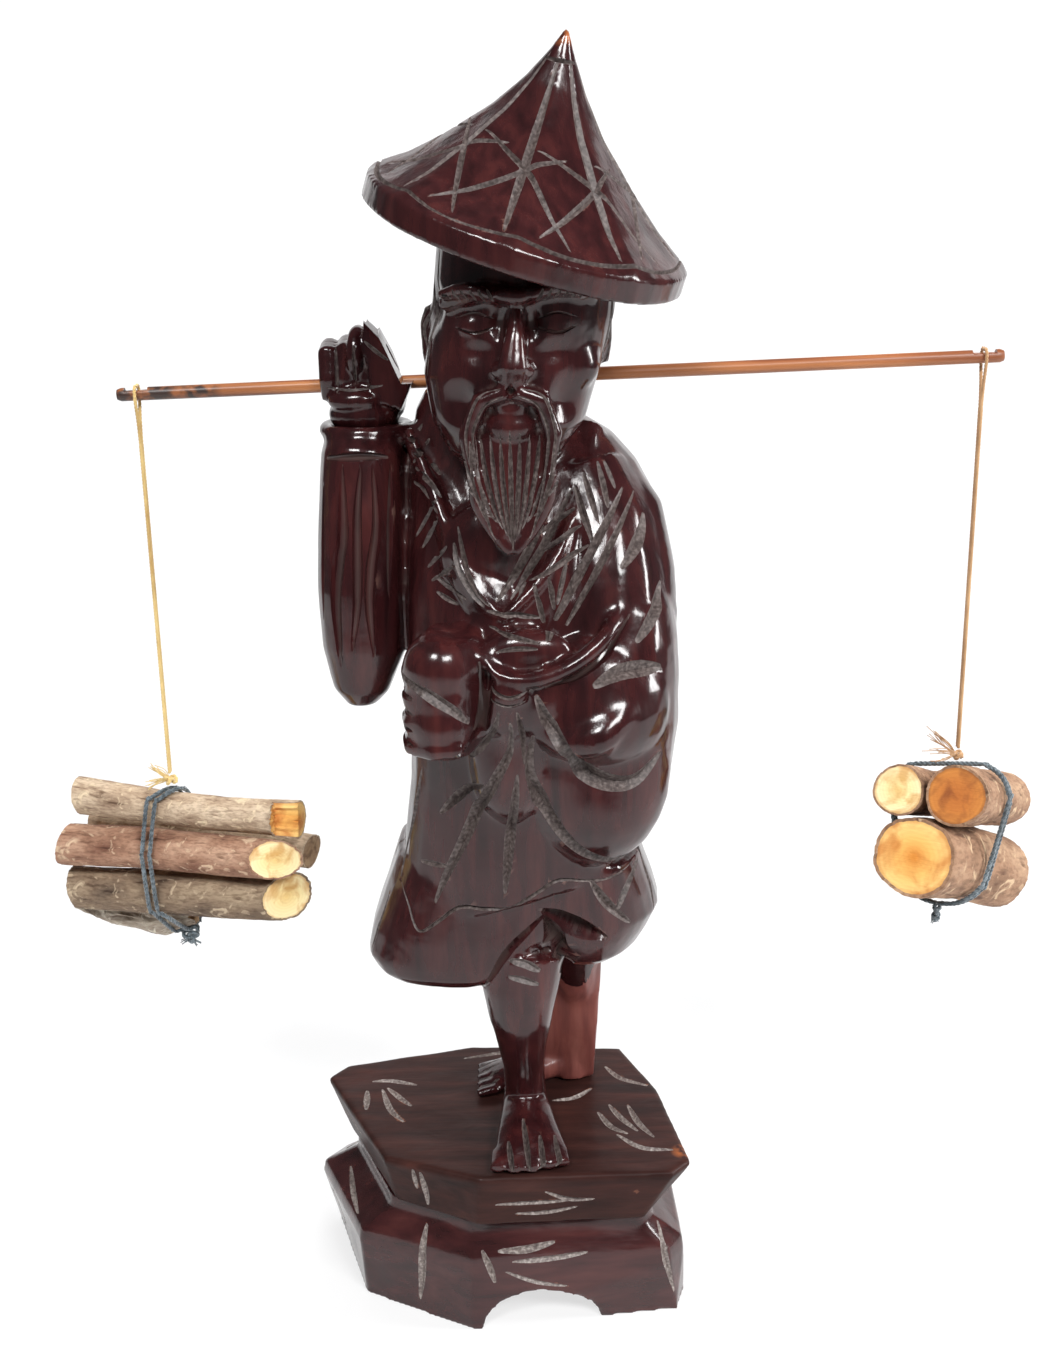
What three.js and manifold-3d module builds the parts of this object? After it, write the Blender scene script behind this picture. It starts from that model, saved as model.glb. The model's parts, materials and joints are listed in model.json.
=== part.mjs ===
// A carved hardwood woodcutter on a two-tier base, with a shoulder pole and two hanging bundles
// of twigs. Millimetres, +Z up. The figure looks along -Y, and +X is the viewer's right.
// The origin is on the floor, under the middle of the base.
import * as THREE from 'three';
import { mergeVertices } from 'three/addons/utils/BufferGeometryUtils.js';
import Module from 'manifold-3d';

const wasm = await Module();
wasm.setup();

// Fits
const clearance = 0.3;

// Base: a plinth with an arch sawn in its front and back, and a rock-like slab on top
const plinthHeight = 28;
const slabThickness = 14.7;
const archHalfWidth = 14.2;
const archHeight = 9.2;
const archDepth = 17;
const archMiddle = 8.4;
const plinthFront = -34.6;
const plinthBack = 27;
const baseDowelRadius = 3;
const baseDowelLength = 20;
const slabUndercut = 1.2;

// Figure
const footPegRadius = 1.8;
const footPegLength = 18;
const handPegRadius = 1.6;
const handPegLength = 13;
const cuffBelowPole = 11.8;
const cuffMiddle = [-29, 10.5];
const handPegPlace = [-29, 8];
const hatPegRadius = 2.4;
const hatPegLength = 24;
const hatRadius = 36;
const hatSeatRadius = 24;
const hatPeak = 42.6;
const hatPeakLean = -4;
const hatBrimThickness = 5;
const hatRise = 2.6;
const hatRibs = 8;
const hatBrimDrop = 4.2;
const hatPaneSag = 0.06;
const hatBrimSag = 0.01;

// Carrying pole and its two hanging points
const poleRadius = 1.6;
const poleLength = 206;
const poleSlope = 1.6;
const poleDepth = 14;
const poleMiddleX = 15.9;
const poleMiddleHeight = 182.2;
const cuffHeight = poleMiddleHeight - cuffBelowPole;
const notchDepth = 0.8;
const notchLength = 5.5;
const notchInset = 4.5;

// Strings, knots and elastic ties
const stringRadius = 0.4;
const strandApart = 0.6;
const stringKnotRadius = 1.7;
const leftDrop = 96;
const rightDrop = 98.2;
const elasticRadius = 0.55;
const elasticPitch = 2.15;
const elasticTurns = 2;
const elasticPointsPerTurn = 24;
const elasticStandoff = 0.45;
const tieKnotRadius = 1.9;

const standHeight = plinthHeight + clearance + slabThickness;
const figureHeight = standHeight + clearance;

const darkWood = new THREE.MeshStandardMaterial({ color: 0x2a1512, roughness: 0.38, metalness: 0 });
const baseWood = new THREE.MeshStandardMaterial({ color: 0x261513, roughness: 0.42, metalness: 0 });
const dowelWood = new THREE.MeshStandardMaterial({ color: 0xb98b5a, roughness: 0.75, metalness: 0 });
const poleWood = new THREE.MeshStandardMaterial({ color: 0x9a4b2a, roughness: 0.5, metalness: 0 });
const thread = new THREE.MeshStandardMaterial({ color: 0xd9bd74, roughness: 0.9, metalness: 0 });
const bark = new THREE.MeshStandardMaterial({ color: 0x8a7462, roughness: 0.95, metalness: 0 });
const elastic = new THREE.MeshStandardMaterial({ color: 0x3a444c, roughness: 0.8, metalness: 0 });

function closed(geometry) {
  const bare = geometry.index ? geometry.toNonIndexed() : geometry.clone();
  for (const name of Object.keys(bare.attributes)) {
    if (name !== 'position') bare.deleteAttribute(name);
  }
  return mergeVertices(bare, 1e-4);
}

function solid(geometry) {
  const merged = closed(geometry);
  return new wasm.Manifold(new wasm.Mesh({
    numProp: 3,
    vertProperties: new Float32Array(merged.attributes.position.array),
    triVerts: new Uint32Array(merged.index.array),
  }));
}

function shapeOf(manifold) {
  const mesh = manifold.getMesh();
  const geometry = new THREE.BufferGeometry();
  geometry.setAttribute('position', new THREE.BufferAttribute(new Float32Array(mesh.vertProperties), 3));
  geometry.setIndex(new THREE.BufferAttribute(new Uint32Array(mesh.triVerts), 1));
  return geometry;
}

function joined(geometries) {
  return geometries.map(solid).reduce((whole, piece) => whole.add(piece));
}

function cutFrom(body, cuts) {
  return shapeOf(cuts.reduce((left, cut) => left.subtract(cut), body));
}

// Skins a row of closed rings, each a list of as many points, and closes both ends with a fan.
function skin(rings) {
  const count = rings[0].length;
  const points = rings.flat();
  const middle = (ring) => ring.reduce((sum, p) => sum.add(p), new THREE.Vector3()).divideScalar(count);
  const first = points.push(middle(rings[0])) - 1;
  const last = points.push(middle(rings[rings.length - 1])) - 1;
  const top = (rings.length - 1) * count;
  const faces = [];
  for (let k = 0; k < count; k += 1) {
    const next = (k + 1) % count;
    for (let i = 0; i < rings.length - 1; i += 1) {
      const low = i * count;
      const high = low + count;
      faces.push(low + k, low + next, high + next, low + k, high + next, high + k);
    }
    faces.push(first, next, k, last, top + k, top + next);
  }
  const geometry = new THREE.BufferGeometry();
  geometry.setAttribute('position', new THREE.Float32BufferAttribute(points.flatMap((p) => p.toArray()), 3));
  geometry.setIndex(faces);
  return geometry;
}

function rounded(value, squareness) {
  return Math.sign(value) * Math.abs(value) ** squareness;
}

// A limb swept through stations [x, y, z, halfWidth, halfThickness]. The width lies along across.
function limb(stations, { sides = 16, across = [1, 0, 0], squareness = 0.9 } = {}) {
  const centres = stations.map(([x, y, z]) => new THREE.Vector3(x, y, z));
  const widthWay = new THREE.Vector3(...across);
  return skin(stations.map(([, , , halfWidth, halfThickness], i) => {
    const ahead = centres[Math.min(i + 1, centres.length - 1)];
    const behind = centres[Math.max(i - 1, 0)];
    const along = ahead.clone().sub(behind).normalize();
    const wide = widthWay.clone().addScaledVector(along, -widthWay.dot(along)).normalize();
    const thick = along.clone().cross(wide);
    return Array.from({ length: sides }, (_, k) => {
      const angle = (2 * Math.PI * k) / sides;
      return centres[i].clone()
        .addScaledVector(wide, halfWidth * rounded(Math.cos(angle), squareness))
        .addScaledVector(thick, halfThickness * rounded(Math.sin(angle), squareness));
    });
  }));
}

// Draped cloth as a stack of level rings [height, left, right, front, back, slope], with soft folds.
function stack(levels, { sides = 28, squareness = 0.8, folds = 0, foldDepth = 0 } = {}) {
  return skin(levels.map(([height, left, right, front, back, slope = 0], i) => {
    const fade = 1 - i / (levels.length - 1);
    return Array.from({ length: sides }, (_, k) => {
      const angle = (2 * Math.PI * k) / sides;
      const fold = 1 - foldDepth * fade * (0.5 - 0.5 * Math.cos(folds * angle));
      const x = (left + right) / 2 + ((right - left) / 2) * fold * rounded(Math.cos(angle), squareness);
      const y = (front + back) / 2 + ((back - front) / 2) * fold * rounded(Math.sin(angle), squareness);
      return new THREE.Vector3(x, y, height + slope * x);
    });
  }));
}

function outlineRing(outline, height, scale = 1) {
  const flat = outline.map(([x, y]) => new THREE.Vector3(x, y, height));
  const middle = flat.reduce((sum, p) => sum.add(p), new THREE.Vector3()).divideScalar(flat.length);
  return flat.map((p) => middle.clone().lerp(p, scale));
}

function rod(radius, length, sides = 16) {
  return new THREE.CylinderGeometry(radius, radius, length, sides).rotateX(Math.PI / 2);
}

function upright(radius, length, [x, y, middle], sides) {
  return rod(radius, length, sides).translate(x, y, middle);
}

function cord(points, radius, { stepsPerPoint = 1, sides = 8 } = {}) {
  const places = points.map((p) => new THREE.Vector3(...p));
  const route = new THREE.CatmullRomCurve3(places, false, 'centripetal');
  const steps = (points.length - 1) * stepsPerPoint;
  const stations = Array.from({ length: steps + 1 }, (_, i) => {
    const { x, y, z } = route.getPoint(i / steps);
    return [x, y, z, radius, radius];
  });
  return limb(stations, { sides, squareness: 1 });
}

function named(name, geometry, material) {
  const mesh = new THREE.Mesh(closed(geometry), material);
  mesh.name = name;
  return mesh;
}

// Base
const baseDowels = [[-18, 4], [24, -6]];
const footPegs = [[5, -9], [17, 14]];
const baseSeam = plinthHeight + clearance / 2;
const soleSeam = standHeight + clearance / 2;

function baseDowelBores() {
  return baseDowels.map(([x, y]) => solid(
    upright(baseDowelRadius + clearance, baseDowelLength, [x, y, baseSeam], 16),
  ));
}

function footPegBores(seam) {
  return footPegs.map(([x, y]) => solid(
    upright(footPegRadius + clearance, footPegLength, [x, y, seam], 12),
  ));
}

function plinth() {
  const foot = [
    [-46, 11], [-36, -20], [-8.5, plinthFront], [42, -28], [44.5, -20],
    [44, 4], [37, 25], [-10, plinthBack], [-41, 18],
  ];
  const belly = [
    [-50, 11], [-37, -20], [-8.5, -33], [40, -30], [44, -24],
    [43, 4], [36, 24], [-10, 26], [-44.5, 18],
  ];
  const neck = [
    [-40, 8], [-29, -19], [-8, -29.5], [33, -28], [36, -24],
    [34, 3], [27, 20], [-9, 22], [-36, 13],
  ];
  const body = solid(skin([
    outlineRing(foot, 0),
    outlineRing(belly, 15.5),
    outlineRing(belly, 18.5, 0.99),
    outlineRing(neck, 25),
    outlineRing(neck, plinthHeight),
  ]));
  const arches = [plinthFront, plinthBack].map((face) => solid(
    new THREE.CylinderGeometry(1, 1, 2 * archDepth, 24)
      .scale(archHalfWidth, 1, archHeight)
      .translate(archMiddle, face, 0),
  ));
  return cutFrom(body, [...arches, ...baseDowelBores()]);
}

function rockSlab() {
  const under = [
    [-41, 9], [-27, -22], [-7, -32.5], [33, -31], [36, -26],
    [34, 3], [27, 21], [-9, 23], [-37, 14],
  ];
  const upper = [
    [-47.5, 12.5], [-29.5, -25.5], [-6, -35], [40, -33.5], [45, -28],
    [39.5, 4], [31, 25], [-10, 27], [-43, 18],
  ];
  const bottom = plinthHeight + clearance;
  const body = solid(skin([
    outlineRing(under, bottom),
    outlineRing(upper, standHeight - slabUndercut),
    outlineRing(upper, standHeight, 0.98),
  ]));
  return cutFrom(body, [...baseDowelBores(), ...footPegBores(soleSeam)]);
}

const sculpture = new THREE.Group();
sculpture.add(named('plinth', plinth(), baseWood));
sculpture.add(named('rock_slab', rockSlab(), baseWood));
baseDowels.forEach(([x, y], i) => {
  const dowel = upright(baseDowelRadius, baseDowelLength - 2 * clearance, [x, y, baseSeam], 16);
  sculpture.add(named(`base_dowel_${i + 1}`, dowel, dowelWood));
});
footPegs.forEach(([x, y], i) => {
  const peg = upright(footPegRadius, footPegLength - 2 * clearance, [x, y, soleSeam], 12);
  sculpture.add(named(`foot_peg_${i + 1}`, peg, dowelWood));
});

// Figure: heights below are measured from the soles
const figure = new THREE.Group();
figure.position.z = figureHeight;
sculpture.add(figure);

// The pole's line, its grip in the hand and its seat on the shoulder
const poleMiddle = new THREE.Vector3(poleMiddleX, poleDepth, poleMiddleHeight);
const slope = THREE.MathUtils.degToRad(poleSlope);
const poleHeightAt = (x) => poleMiddle.z + (x - poleMiddle.x) * Math.tan(slope);

function alongPole(geometry) {
  return geometry.rotateY(Math.PI / 2 - slope).translate(...poleMiddle.toArray());
}

function poleBore() {
  return solid(alongPole(rod(poleRadius + clearance, poleLength)));
}

// The hat's seat on the crown of the head
const hatSeat = new THREE.Group();
hatSeat.position.set(8.4, -6, 214.2);
hatSeat.rotation.set(THREE.MathUtils.degToRad(9), THREE.MathUtils.degToRad(18), 0);
hatSeat.updateMatrix();

function robe() {
  const skirtLeft = stack([
    [42, -27.5, 2, -20.5, 12],
    [44.5, -31.2, 8, -22.8, 16],
    [48, -33.6, 13, -23.5, 19],
    [54, -32, 20, -23.5, 21],
    [62, -28.8, 24, -23, 22.5],
    [73, -24.8, 28, -22.5, 24],
  ], { folds: 5, foldDepth: 0.07 });
  const skirtRight = stack([
    [43.8, 9, 30, -13, 18],
    [46.8, 5, 34, -17, 22],
    [52, 2, 37, -19, 24.5],
    [56.5, 0, 39, -20, 25],
    [62, -2, 37.5, -21, 25],
    [72, -6, 34, -21.5, 24.5],
  ], { folds: 4, foldDepth: 0.08 });
  const jacket = stack([
    [64, -22.6, 30, -24.5, 22, 0.25],
    [73, -24.2, 33, -25, 23, 0.12],
    [82, -22.8, 36, -25.5, 23.5],
    [92, -21.4, 37.5, -26, 24],
    [107, -21, 38.5, -26.5, 25],
    [122, -21, 39, -26.5, 26],
    [137, -20.6, 39.8, -24.5, 26.5],
    [147, -20, 39.6, -20, 26.8],
    [157, -19.5, 37.2, -15.5, 25.8],
    [164, -19.2, 33.4, -11.5, 24],
    [170, -18.6, 28, -7.5, 21.5],
    [176, -17.5, 18, -4, 19.5],
    [180.5, -15, 9, -2, 18.5],
  ], { folds: 7, foldDepth: 0.03 });
  const collar = limb([
    [-16, 4, 172, 5, 4],
    [-9, -8, 158, 6, 4],
    [-3, -19, 143, 6.5, 4],
    [4, -24, 131, 6, 4],
  ], { across: [1, 0.3, 0.4] });
  const farCollar = limb([
    [21, 2, 172, 5, 4],
    [18, -9, 158, 6.5, 4],
    [11, -19, 143, 7, 4],
    [3, -24.5, 129, 6, 4],
  ], { across: [1, -0.3, -0.4] });
  return [skirtLeft, skirtRight, jacket, collar, farCollar];
}

function sleeves() {
  const raisedSleeve = limb([
    [-32, 1, cuffHeight - 62.9, 3.6, 5],
    [-32, 1, cuffHeight - 59.4, 6.6, 8],
    [-31, 2, cuffHeight - 49.4, 10, 11],
    [-30.8, 3, cuffHeight - 35.4, 10.8, 12.5],
    [-30.2, 5, cuffHeight - 20.4, 10.7, 13],
    [-29.6, 8, cuffHeight - 5.4, 10.2, 12.5],
    [-29.2, 10, cuffHeight - 3, 9.8, 11.5],
    [...cuffMiddle, cuffHeight, 9, 10],
  ], { sides: 20 });
  const raisedUpperArm = limb([[-8, 9, 158, 9, 10], [-19, 8, 146, 9, 10], [-28, 5, 132, 8, 9]]);
  const upperArm = limb([
    [22, 6, 160, 11, 12],
    [28, 3, 150, 12, 14],
    [31, -1, 138, 11.2, 15.5],
    [31.5, -6, 124, 10.6, 16],
    [31, -8, 110, 10.8, 16],
  ], { sides: 20 });
  const drape = stack([
    [76.7, 24, 31.5, -21, 0],
    [80, 20.5, 35.5, -25, 5],
    [88, 17.2, 38.6, -28, 8],
    [97, 14.8, 40.8, -29.5, 10],
    [107, 12.6, 42.2, -30, 12],
    [118, 10.5, 42.3, -30.5, 13],
    [127, 12, 41.9, -29, 14],
    [136, 20, 40.5, -25, 14],
  ], { sides: 24, folds: 3, foldDepth: 0.06 });
  const forearm = limb([
    [35, -6, 134, 9, 8],
    [29, -15, 126, 10, 9],
    [18, -23, 119.5, 9, 8],
    [8, -27.5, 116.5, 8.6, 7.5],
    [-1.5, -29, 118.5, 9.5, 8],
  ], { sides: 20, across: [0, 0, 1] });
  return [raisedSleeve, raisedUpperArm, upperArm, drape, forearm];
}

function fist() {
  const palm = limb([
    [-9, -27, 104.3, 5, 4.5],
    [-10, -28, 109.5, 8, 7.2],
    [-10, -28.5, 119.5, 8.8, 8.2],
    [-9.5, -28.5, 128.5, 8.2, 7.8],
    [-8.5, -28, 134.7, 4.8, 5],
  ]);
  const fingers = [108, 113.2, 118.5, 123.8].map((height) => limb([
    [-6.5, -36.2, height + 0.5, 2.2, 2.2],
    [-13, -35.7, height, 2.6, 2.6],
    [-17.8, -32, height, 2.6, 2.6],
    [-18.6, -26.5, height + 0.4, 2.3, 2.3],
  ], { sides: 8, across: [0, 0, 1] }));
  return [palm, ...fingers];
}

function head() {
  const skull = stack([
    [163, -3.4, 10.6, -20, -6],
    [170, -9.2, 16.8, -24.5, 0.5],
    [176, -12.6, 21, -27, 5],
    [186, -14.3, 24.3, -27.5, 9.5],
    [198, -12.4, 27.6, -27.5, 11.5],
    [210, -11.1, 29.1, -26.8, 12.8],
    [226, -9, 30, -25, 13],
  ], { sides: 28, squareness: 0.9 });
  const neck = limb([[3, 3, 150, 13, 12], [5, 0, 168, 12, 12], [7, -2, 184, 12, 11]]);
  const nose = limb([
    [6.6, -26, 202, 1.6, 2],
    [6, -29, 195, 2.4, 2.6],
    [5.5, -31, 189, 3.4, 2.8],
    [5.2, -28.5, 186, 3.2, 2.2],
  ], { sides: 12 });
  const brow = limb([
    [-9, -21, 201.5, 2, 2],
    [-1, -27, 204, 2.2, 2.2],
    [6.8, -28.3, 203, 1.8, 2],
    [15, -27, 205, 2.2, 2.2],
    [23, -21, 203.5, 2, 2],
  ], { sides: 10, across: [0, 0, 1] });
  const ears = [[-12.4, -5, 193], [24.8, -5, 194.5]].map(([x, y, z]) => limb([
    [x + 0.2, y, z - 7.5, 1.6, 2],
    [x, y, z - 3.5, 2.4, 3.4],
    [x, y + 0.5, z + 3, 2.6, 4.4],
    [x + 0.4, y + 0.5, z + 7, 1.8, 3],
  ], { sides: 10 }));
  const moustache = [-1, 1].map((side) => limb([
    [5 + 0.8 * side, -29.5, 184, 1.8, 1.8],
    [5 + 6.5 * side, -28.5, 182, 2.3, 2.2],
    [4.6 + 9 * side, -27.5, 175, 2.2, 2.2],
    [4.6 + 8.2 * side, -28, 167, 1.4, 1.6],
  ], { sides: 10 }));
  const beard = limb([
    [4.5, -17, 178, 12.5, 9],
    [4.2, -19.5, 170, 10.5, 9],
    [4.4, -22.5, 161, 7.4, 7.2],
    [4.6, -25, 153, 4.2, 4.6],
    [4.8, -26.5, 148.6, 1.2, 1.6],
  ], { sides: 20 });
  return [skull, neck, nose, brow, ...ears, ...moustache, beard];
}

function legs() {
  const frontLeg = limb([
    [6, -13, 50, 10, 10],
    [4.3, -14, 40, 9.6, 9.5],
    [4.4, -13.5, 32, 8, 8.5],
    [4.6, -12, 24, 6.3, 7],
    [4.8, -9.5, 16, 5.4, 6],
    [5, -8, 9, 5.3, 6],
    [5, -7.5, -1, 6, 7.5],
  ].reverse(), { sides: 18 });
  const frontFoot = limb([
    [5, -1.5, 2.6, 4.6, 3.4],
    [5, -9, 4.2, 6, 5.2],
    [5.6, -18, 3.2, 7.4, 4.6],
    [6.3, -27, 1.6, 9.2, 3.4],
    [6.6, -31.5, 0.8, 9.4, 2.6],
  ], { sides: 16 });
  const frontToes = [-1.9, 2.4, 6.5, 10.4, 14.1].map((x, i) => limb([
    [x * 0.95 + 0.2, -27, 1.8, 1.9, 1.8],
    [x, -32.5 - 1.6 * Math.sin((i + 1) * 0.75), 1.2, 1.8, 1.5],
  ], { sides: 8 }));
  const backLeg = limb([
    [17, 14, -1, 5.8, 7.5],
    [17.5, 14, 6, 5.2, 6.5],
    [18.5, 13.5, 14, 5, 5.5],
    [19, 12, 24, 5.6, 6],
    [18, 9, 34, 6.5, 7.5],
    [17, 5, 48, 9, 9],
  ], { sides: 16 });
  const backFoot = limb([
    [22, 16, 2.4, 4.5, 3],
    [14, 13, 4, 5.5, 4.6],
    [5, 10.5, 2.4, 6.5, 3.6],
    [-4, 8, 1, 7, 2.4],
  ], { sides: 14, across: [0, 1, 0] });
  const backToes = [1.9, 5.1, 8.4, 11.6, 14.4].map((y) => limb([
    [-2, y, 1.4, 1.5, 1.6],
    [-7.6, y - 1.4, 0.9, 1.5, 1.3],
  ], { sides: 8, across: [0, 1, 0] }));
  return [frontLeg, frontFoot, ...frontToes, backLeg, backFoot, ...backToes];
}

function hatPegBore() {
  return solid(rod(hatPegRadius + clearance, hatPegLength, 12).translate(0, 0, hatRise));
}

function handPegBore() {
  return solid(upright(handPegRadius + clearance, handPegLength, [...handPegPlace, cuffHeight], 12));
}

function carvedFigure() {
  const whole = joined([...robe(), ...sleeves(), ...fist(), ...head(), ...legs()]);
  const room = 120;
  const block = () => new THREE.BoxGeometry(room, room, room);
  const belowSoles = solid(block().translate(0, 0, -room / 2));
  const aboveCrown = solid(block()
    .translate(0, 0, room / 2 + hatRise - clearance)
    .applyMatrix4(hatSeat.matrix));
  const cuffRoom = [24, 40, 20];
  const aboveCuff = solid(new THREE.BoxGeometry(...cuffRoom)
    .translate(cuffMiddle[0] - 2, cuffMiddle[1], cuffHeight - clearance + cuffRoom[2] / 2));
  const hatBore = hatPegBore().transform(hatSeat.matrix.toArray());
  const bores = [hatBore, handPegBore(), poleBore(), ...footPegBores(-clearance / 2)];
  return cutFrom(whole, [belowSoles, aboveCrown, aboveCuff, ...bores]);
}

// Raised hand: closed round the pole, with its wrist pegged into the end of the sleeve
function raisedHand() {
  const gripHeight = poleHeightAt(cuffMiddle[0]);
  const grip = poleDepth;
  const wrist = limb([
    [...cuffMiddle, cuffHeight, 7, 7.5],
    [-29, cuffMiddle[1] + 1, cuffHeight + 4, 7.6, 6.5],
    [-29.8, grip + 0.5, gripHeight, 9, 5.2],
    [-30, grip + 2, gripHeight + 6, 8.6, 3.6],
    [-30.5, grip + 1.5, gripHeight + 9.5, 7.6, 2.4],
  ]);
  const fingers = [-37, -32.7, -28.4, -24.2].map((x, i) => limb([
    [x, grip + 3, gripHeight + 6, 2.3, 2.3],
    [x, grip, gripHeight + 8.6 + 0.9 * i, 2.4, 2.3],
    [x, grip - 5.2, gripHeight + 7.6 + 0.9 * i, 2.4, 2.4],
    [x, grip - 6.4, gripHeight + 2, 2.3, 2.3],
    [x, grip - 4.8, gripHeight - 2.6, 2.1, 2.2],
  ], { sides: 10 }));
  const thumb = limb([
    [-22.5, grip - 2, cuffHeight + 5, 2.6, 4],
    [-20.8, grip - 4.5, gripHeight + 1, 2.4, 4.4],
    [-20, grip - 6.5, gripHeight + 7, 2, 3.4],
    [-19.6, grip - 7, gripHeight + 11.5, 1, 1.8],
  ], { sides: 10 });
  const room = 60;
  const belowCuff = solid(new THREE.BoxGeometry(room, room, room)
    .translate(...cuffMiddle, cuffHeight - room / 2));
  return cutFrom(joined([wrist, ...fingers, thumb]), [belowCuff, handPegBore(), poleBore()]);
}

// Hat: a pointed straw-hat form with eight ribs, a kink half way up and a thick brim
function hat() {
  const profile = [
    [3, hatRise],
    [hatSeatRadius, hatRise],
    [hatRadius - 1.2, hatRise - hatBrimDrop - 0.6],
    [hatRadius, hatRise - hatBrimDrop],
    [hatRadius, hatRise - hatBrimDrop + hatBrimThickness],
    [hatRadius - 1.6, hatRise + 2.6],
    [28, 9.4],
    [20.4, 16],
    [12.3, 24],
    [6.8, 31],
    [2.8, 37.6],
    [0.6, hatPeak - 0.6],
  ];
  const sides = hatRibs * 6;
  const rings = profile.map(([radius, height]) => Array.from({ length: sides }, (_, k) => {
    const turn = (2 * Math.PI * k) / sides;
    const angle = turn - THREE.MathUtils.degToRad(5);
    const betweenRibs = Math.abs(Math.sin((hatRibs * turn) / 2));
    const sag = height > hatRise + 1.5 ? hatPaneSag : hatBrimSag;
    const reach = radius * (1 - sag * betweenRibs);
    const shift = hatPeakLean * Math.max(0, height - hatRise) / (hatPeak - hatRise);
    return new THREE.Vector3(reach * Math.cos(angle) + shift, reach * Math.sin(angle), height);
  }));
  return cutFrom(solid(skin(rings)), [hatPegBore()]);
}

figure.add(named('carved_figure', carvedFigure(), darkWood));
figure.add(named('raised_hand', raisedHand(), darkWood));
figure.add(named(
  'hand_peg',
  upright(handPegRadius, handPegLength - 2 * clearance, [...handPegPlace, cuffHeight], 12),
  dowelWood,
));
figure.add(hatSeat);
hatSeat.add(named('hat', hat(), darkWood));
const hatPeg = rod(hatPegRadius, hatPegLength - 2 * clearance, 12).translate(0, 0, hatRise);
hatSeat.add(named('hat_peg', hatPeg, dowelWood));

// Carrying pole: a slim round stick with a shallow saddle cut near each end for its string
const notchOffset = poleLength / 2 - notchInset;

function carryingPole() {
  const stick = solid(rod(poleRadius, poleLength).rotateY(Math.PI / 2));
  const notches = [-notchOffset, notchOffset].map((x) => solid(
    new THREE.BoxGeometry(notchLength, 4 * poleRadius, 2 * notchDepth).translate(x, 0, poleRadius),
  ));
  return cutFrom(stick, notches);
}

const pole = new THREE.Group();
pole.position.copy(poleMiddle);
pole.rotation.y = -slope;
figure.add(pole);
pole.add(named('carrying_pole', carryingPole(), poleWood));

// A string is one thread looped over the pole, both strands running down to the knot.
function hangingString(drop) {
  const knotTop = -drop + stringKnotRadius + clearance;
  const hug = poleRadius + clearance + stringRadius;
  const over = poleRadius - notchDepth + clearance + stringRadius;
  const side = [
    [strandApart, knotTop],
    [strandApart, knotTop * 0.66],
    [strandApart, knotTop * 0.33],
    [strandApart + 0.1, -12],
    [strandApart + 0.5, -6.5],
    [hug * 0.86, -2.6],
    [hug, -0.6],
    [hug * 0.92, 0.9],
    [hug * 0.55, over + 0.35],
  ];
  const front = side.map(([y, z]) => [0, -y, z]);
  const back = side.map(([y, z]) => [0, y, z]).reverse();
  return cord([...front, [0, 0, over + 0.1], ...back], stringRadius, { stepsPerPoint: 3 });
}

function stringKnot() {
  const knot = new THREE.SphereGeometry(stringKnotRadius, 12, 8);
  const tails = [[-1, 0.6], [-1, -0.5]].map(([x, y]) => limb([
    [x * 0.6, y * 0.6, 0.4, 0.5, 0.5],
    [x * 2.4, y * 1.6, 1.8, 0.45, 0.45],
    [x * 4.6, y * 2.4, 2.8 - y, 0.35, 0.35],
  ], { sides: 6, across: [0, 1, 0] }));
  return shapeOf(joined([knot, ...tails]));
}

// Logs run along X as stations [x, y, z, radius] from one cut end to the other.
function log(stations, { sides = 16, bumps = 3 } = {}) {
  const rings = [];
  stations.forEach(([x, y, z, radius], i) => {
    rings.push(Array.from({ length: sides }, (_, k) => {
      const angle = (2 * Math.PI * k) / sides;
      const reach = radius * (1 - 0.02 * (1 + Math.cos(bumps * angle + i)));
      return new THREE.Vector3(x, y + reach * Math.cos(angle), z + reach * Math.sin(angle));
    }));
  });
  return skin(rings);
}

function logAt(stations, x) {
  const after = Math.max(1, stations.findIndex((station) => station[0] >= x));
  const [from, to] = [stations[after - 1], stations[after]];
  const share = THREE.MathUtils.clamp((x - from[0]) / (to[0] - from[0]), 0, 1);
  return from.map((value, i) => value + share * (to[i] - value));
}

// The point where a tight cord round the logs lies, looked at in the direction given.
function wrapPoint(logs, x, angle, offset) {
  const way = [Math.cos(angle), Math.sin(angle)];
  const furthest = logs.map((stations) => logAt(stations, x))
    .map(([, y, z, radius]) => ({ y, z, radius, reach: y * way[0] + z * way[1] + radius }))
    .reduce((best, one) => (one.reach > best.reach ? one : best));
  const out = furthest.radius + offset;
  return [furthest.y + out * way[0], furthest.z + out * way[1]];
}

const elasticOffset = elasticRadius + elasticStandoff;

function tieHeight(logs, y, angle) {
  const near = wrapPoint(logs, 0, angle - 0.35, elasticOffset);
  const far = wrapPoint(logs, 0, angle + 0.35, elasticOffset);
  const share = THREE.MathUtils.clamp((y - near[0]) / (far[0] - near[0]), 0, 1);
  return near[1] + share * (far[1] - near[1]);
}

// The least gap between the cord's turns, measured point to point.
function leastTurnGap(loops) {
  const places = loops.map((p) => new THREE.Vector3(...p));
  const halfTurn = elasticPointsPerTurn / 2;
  let least = Infinity;
  places.forEach((place, i) => {
    places.slice(i + halfTurn).forEach((other) => {
      least = Math.min(least, place.distanceTo(other) - 2 * elasticRadius);
    });
  });
  return least;
}

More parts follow.
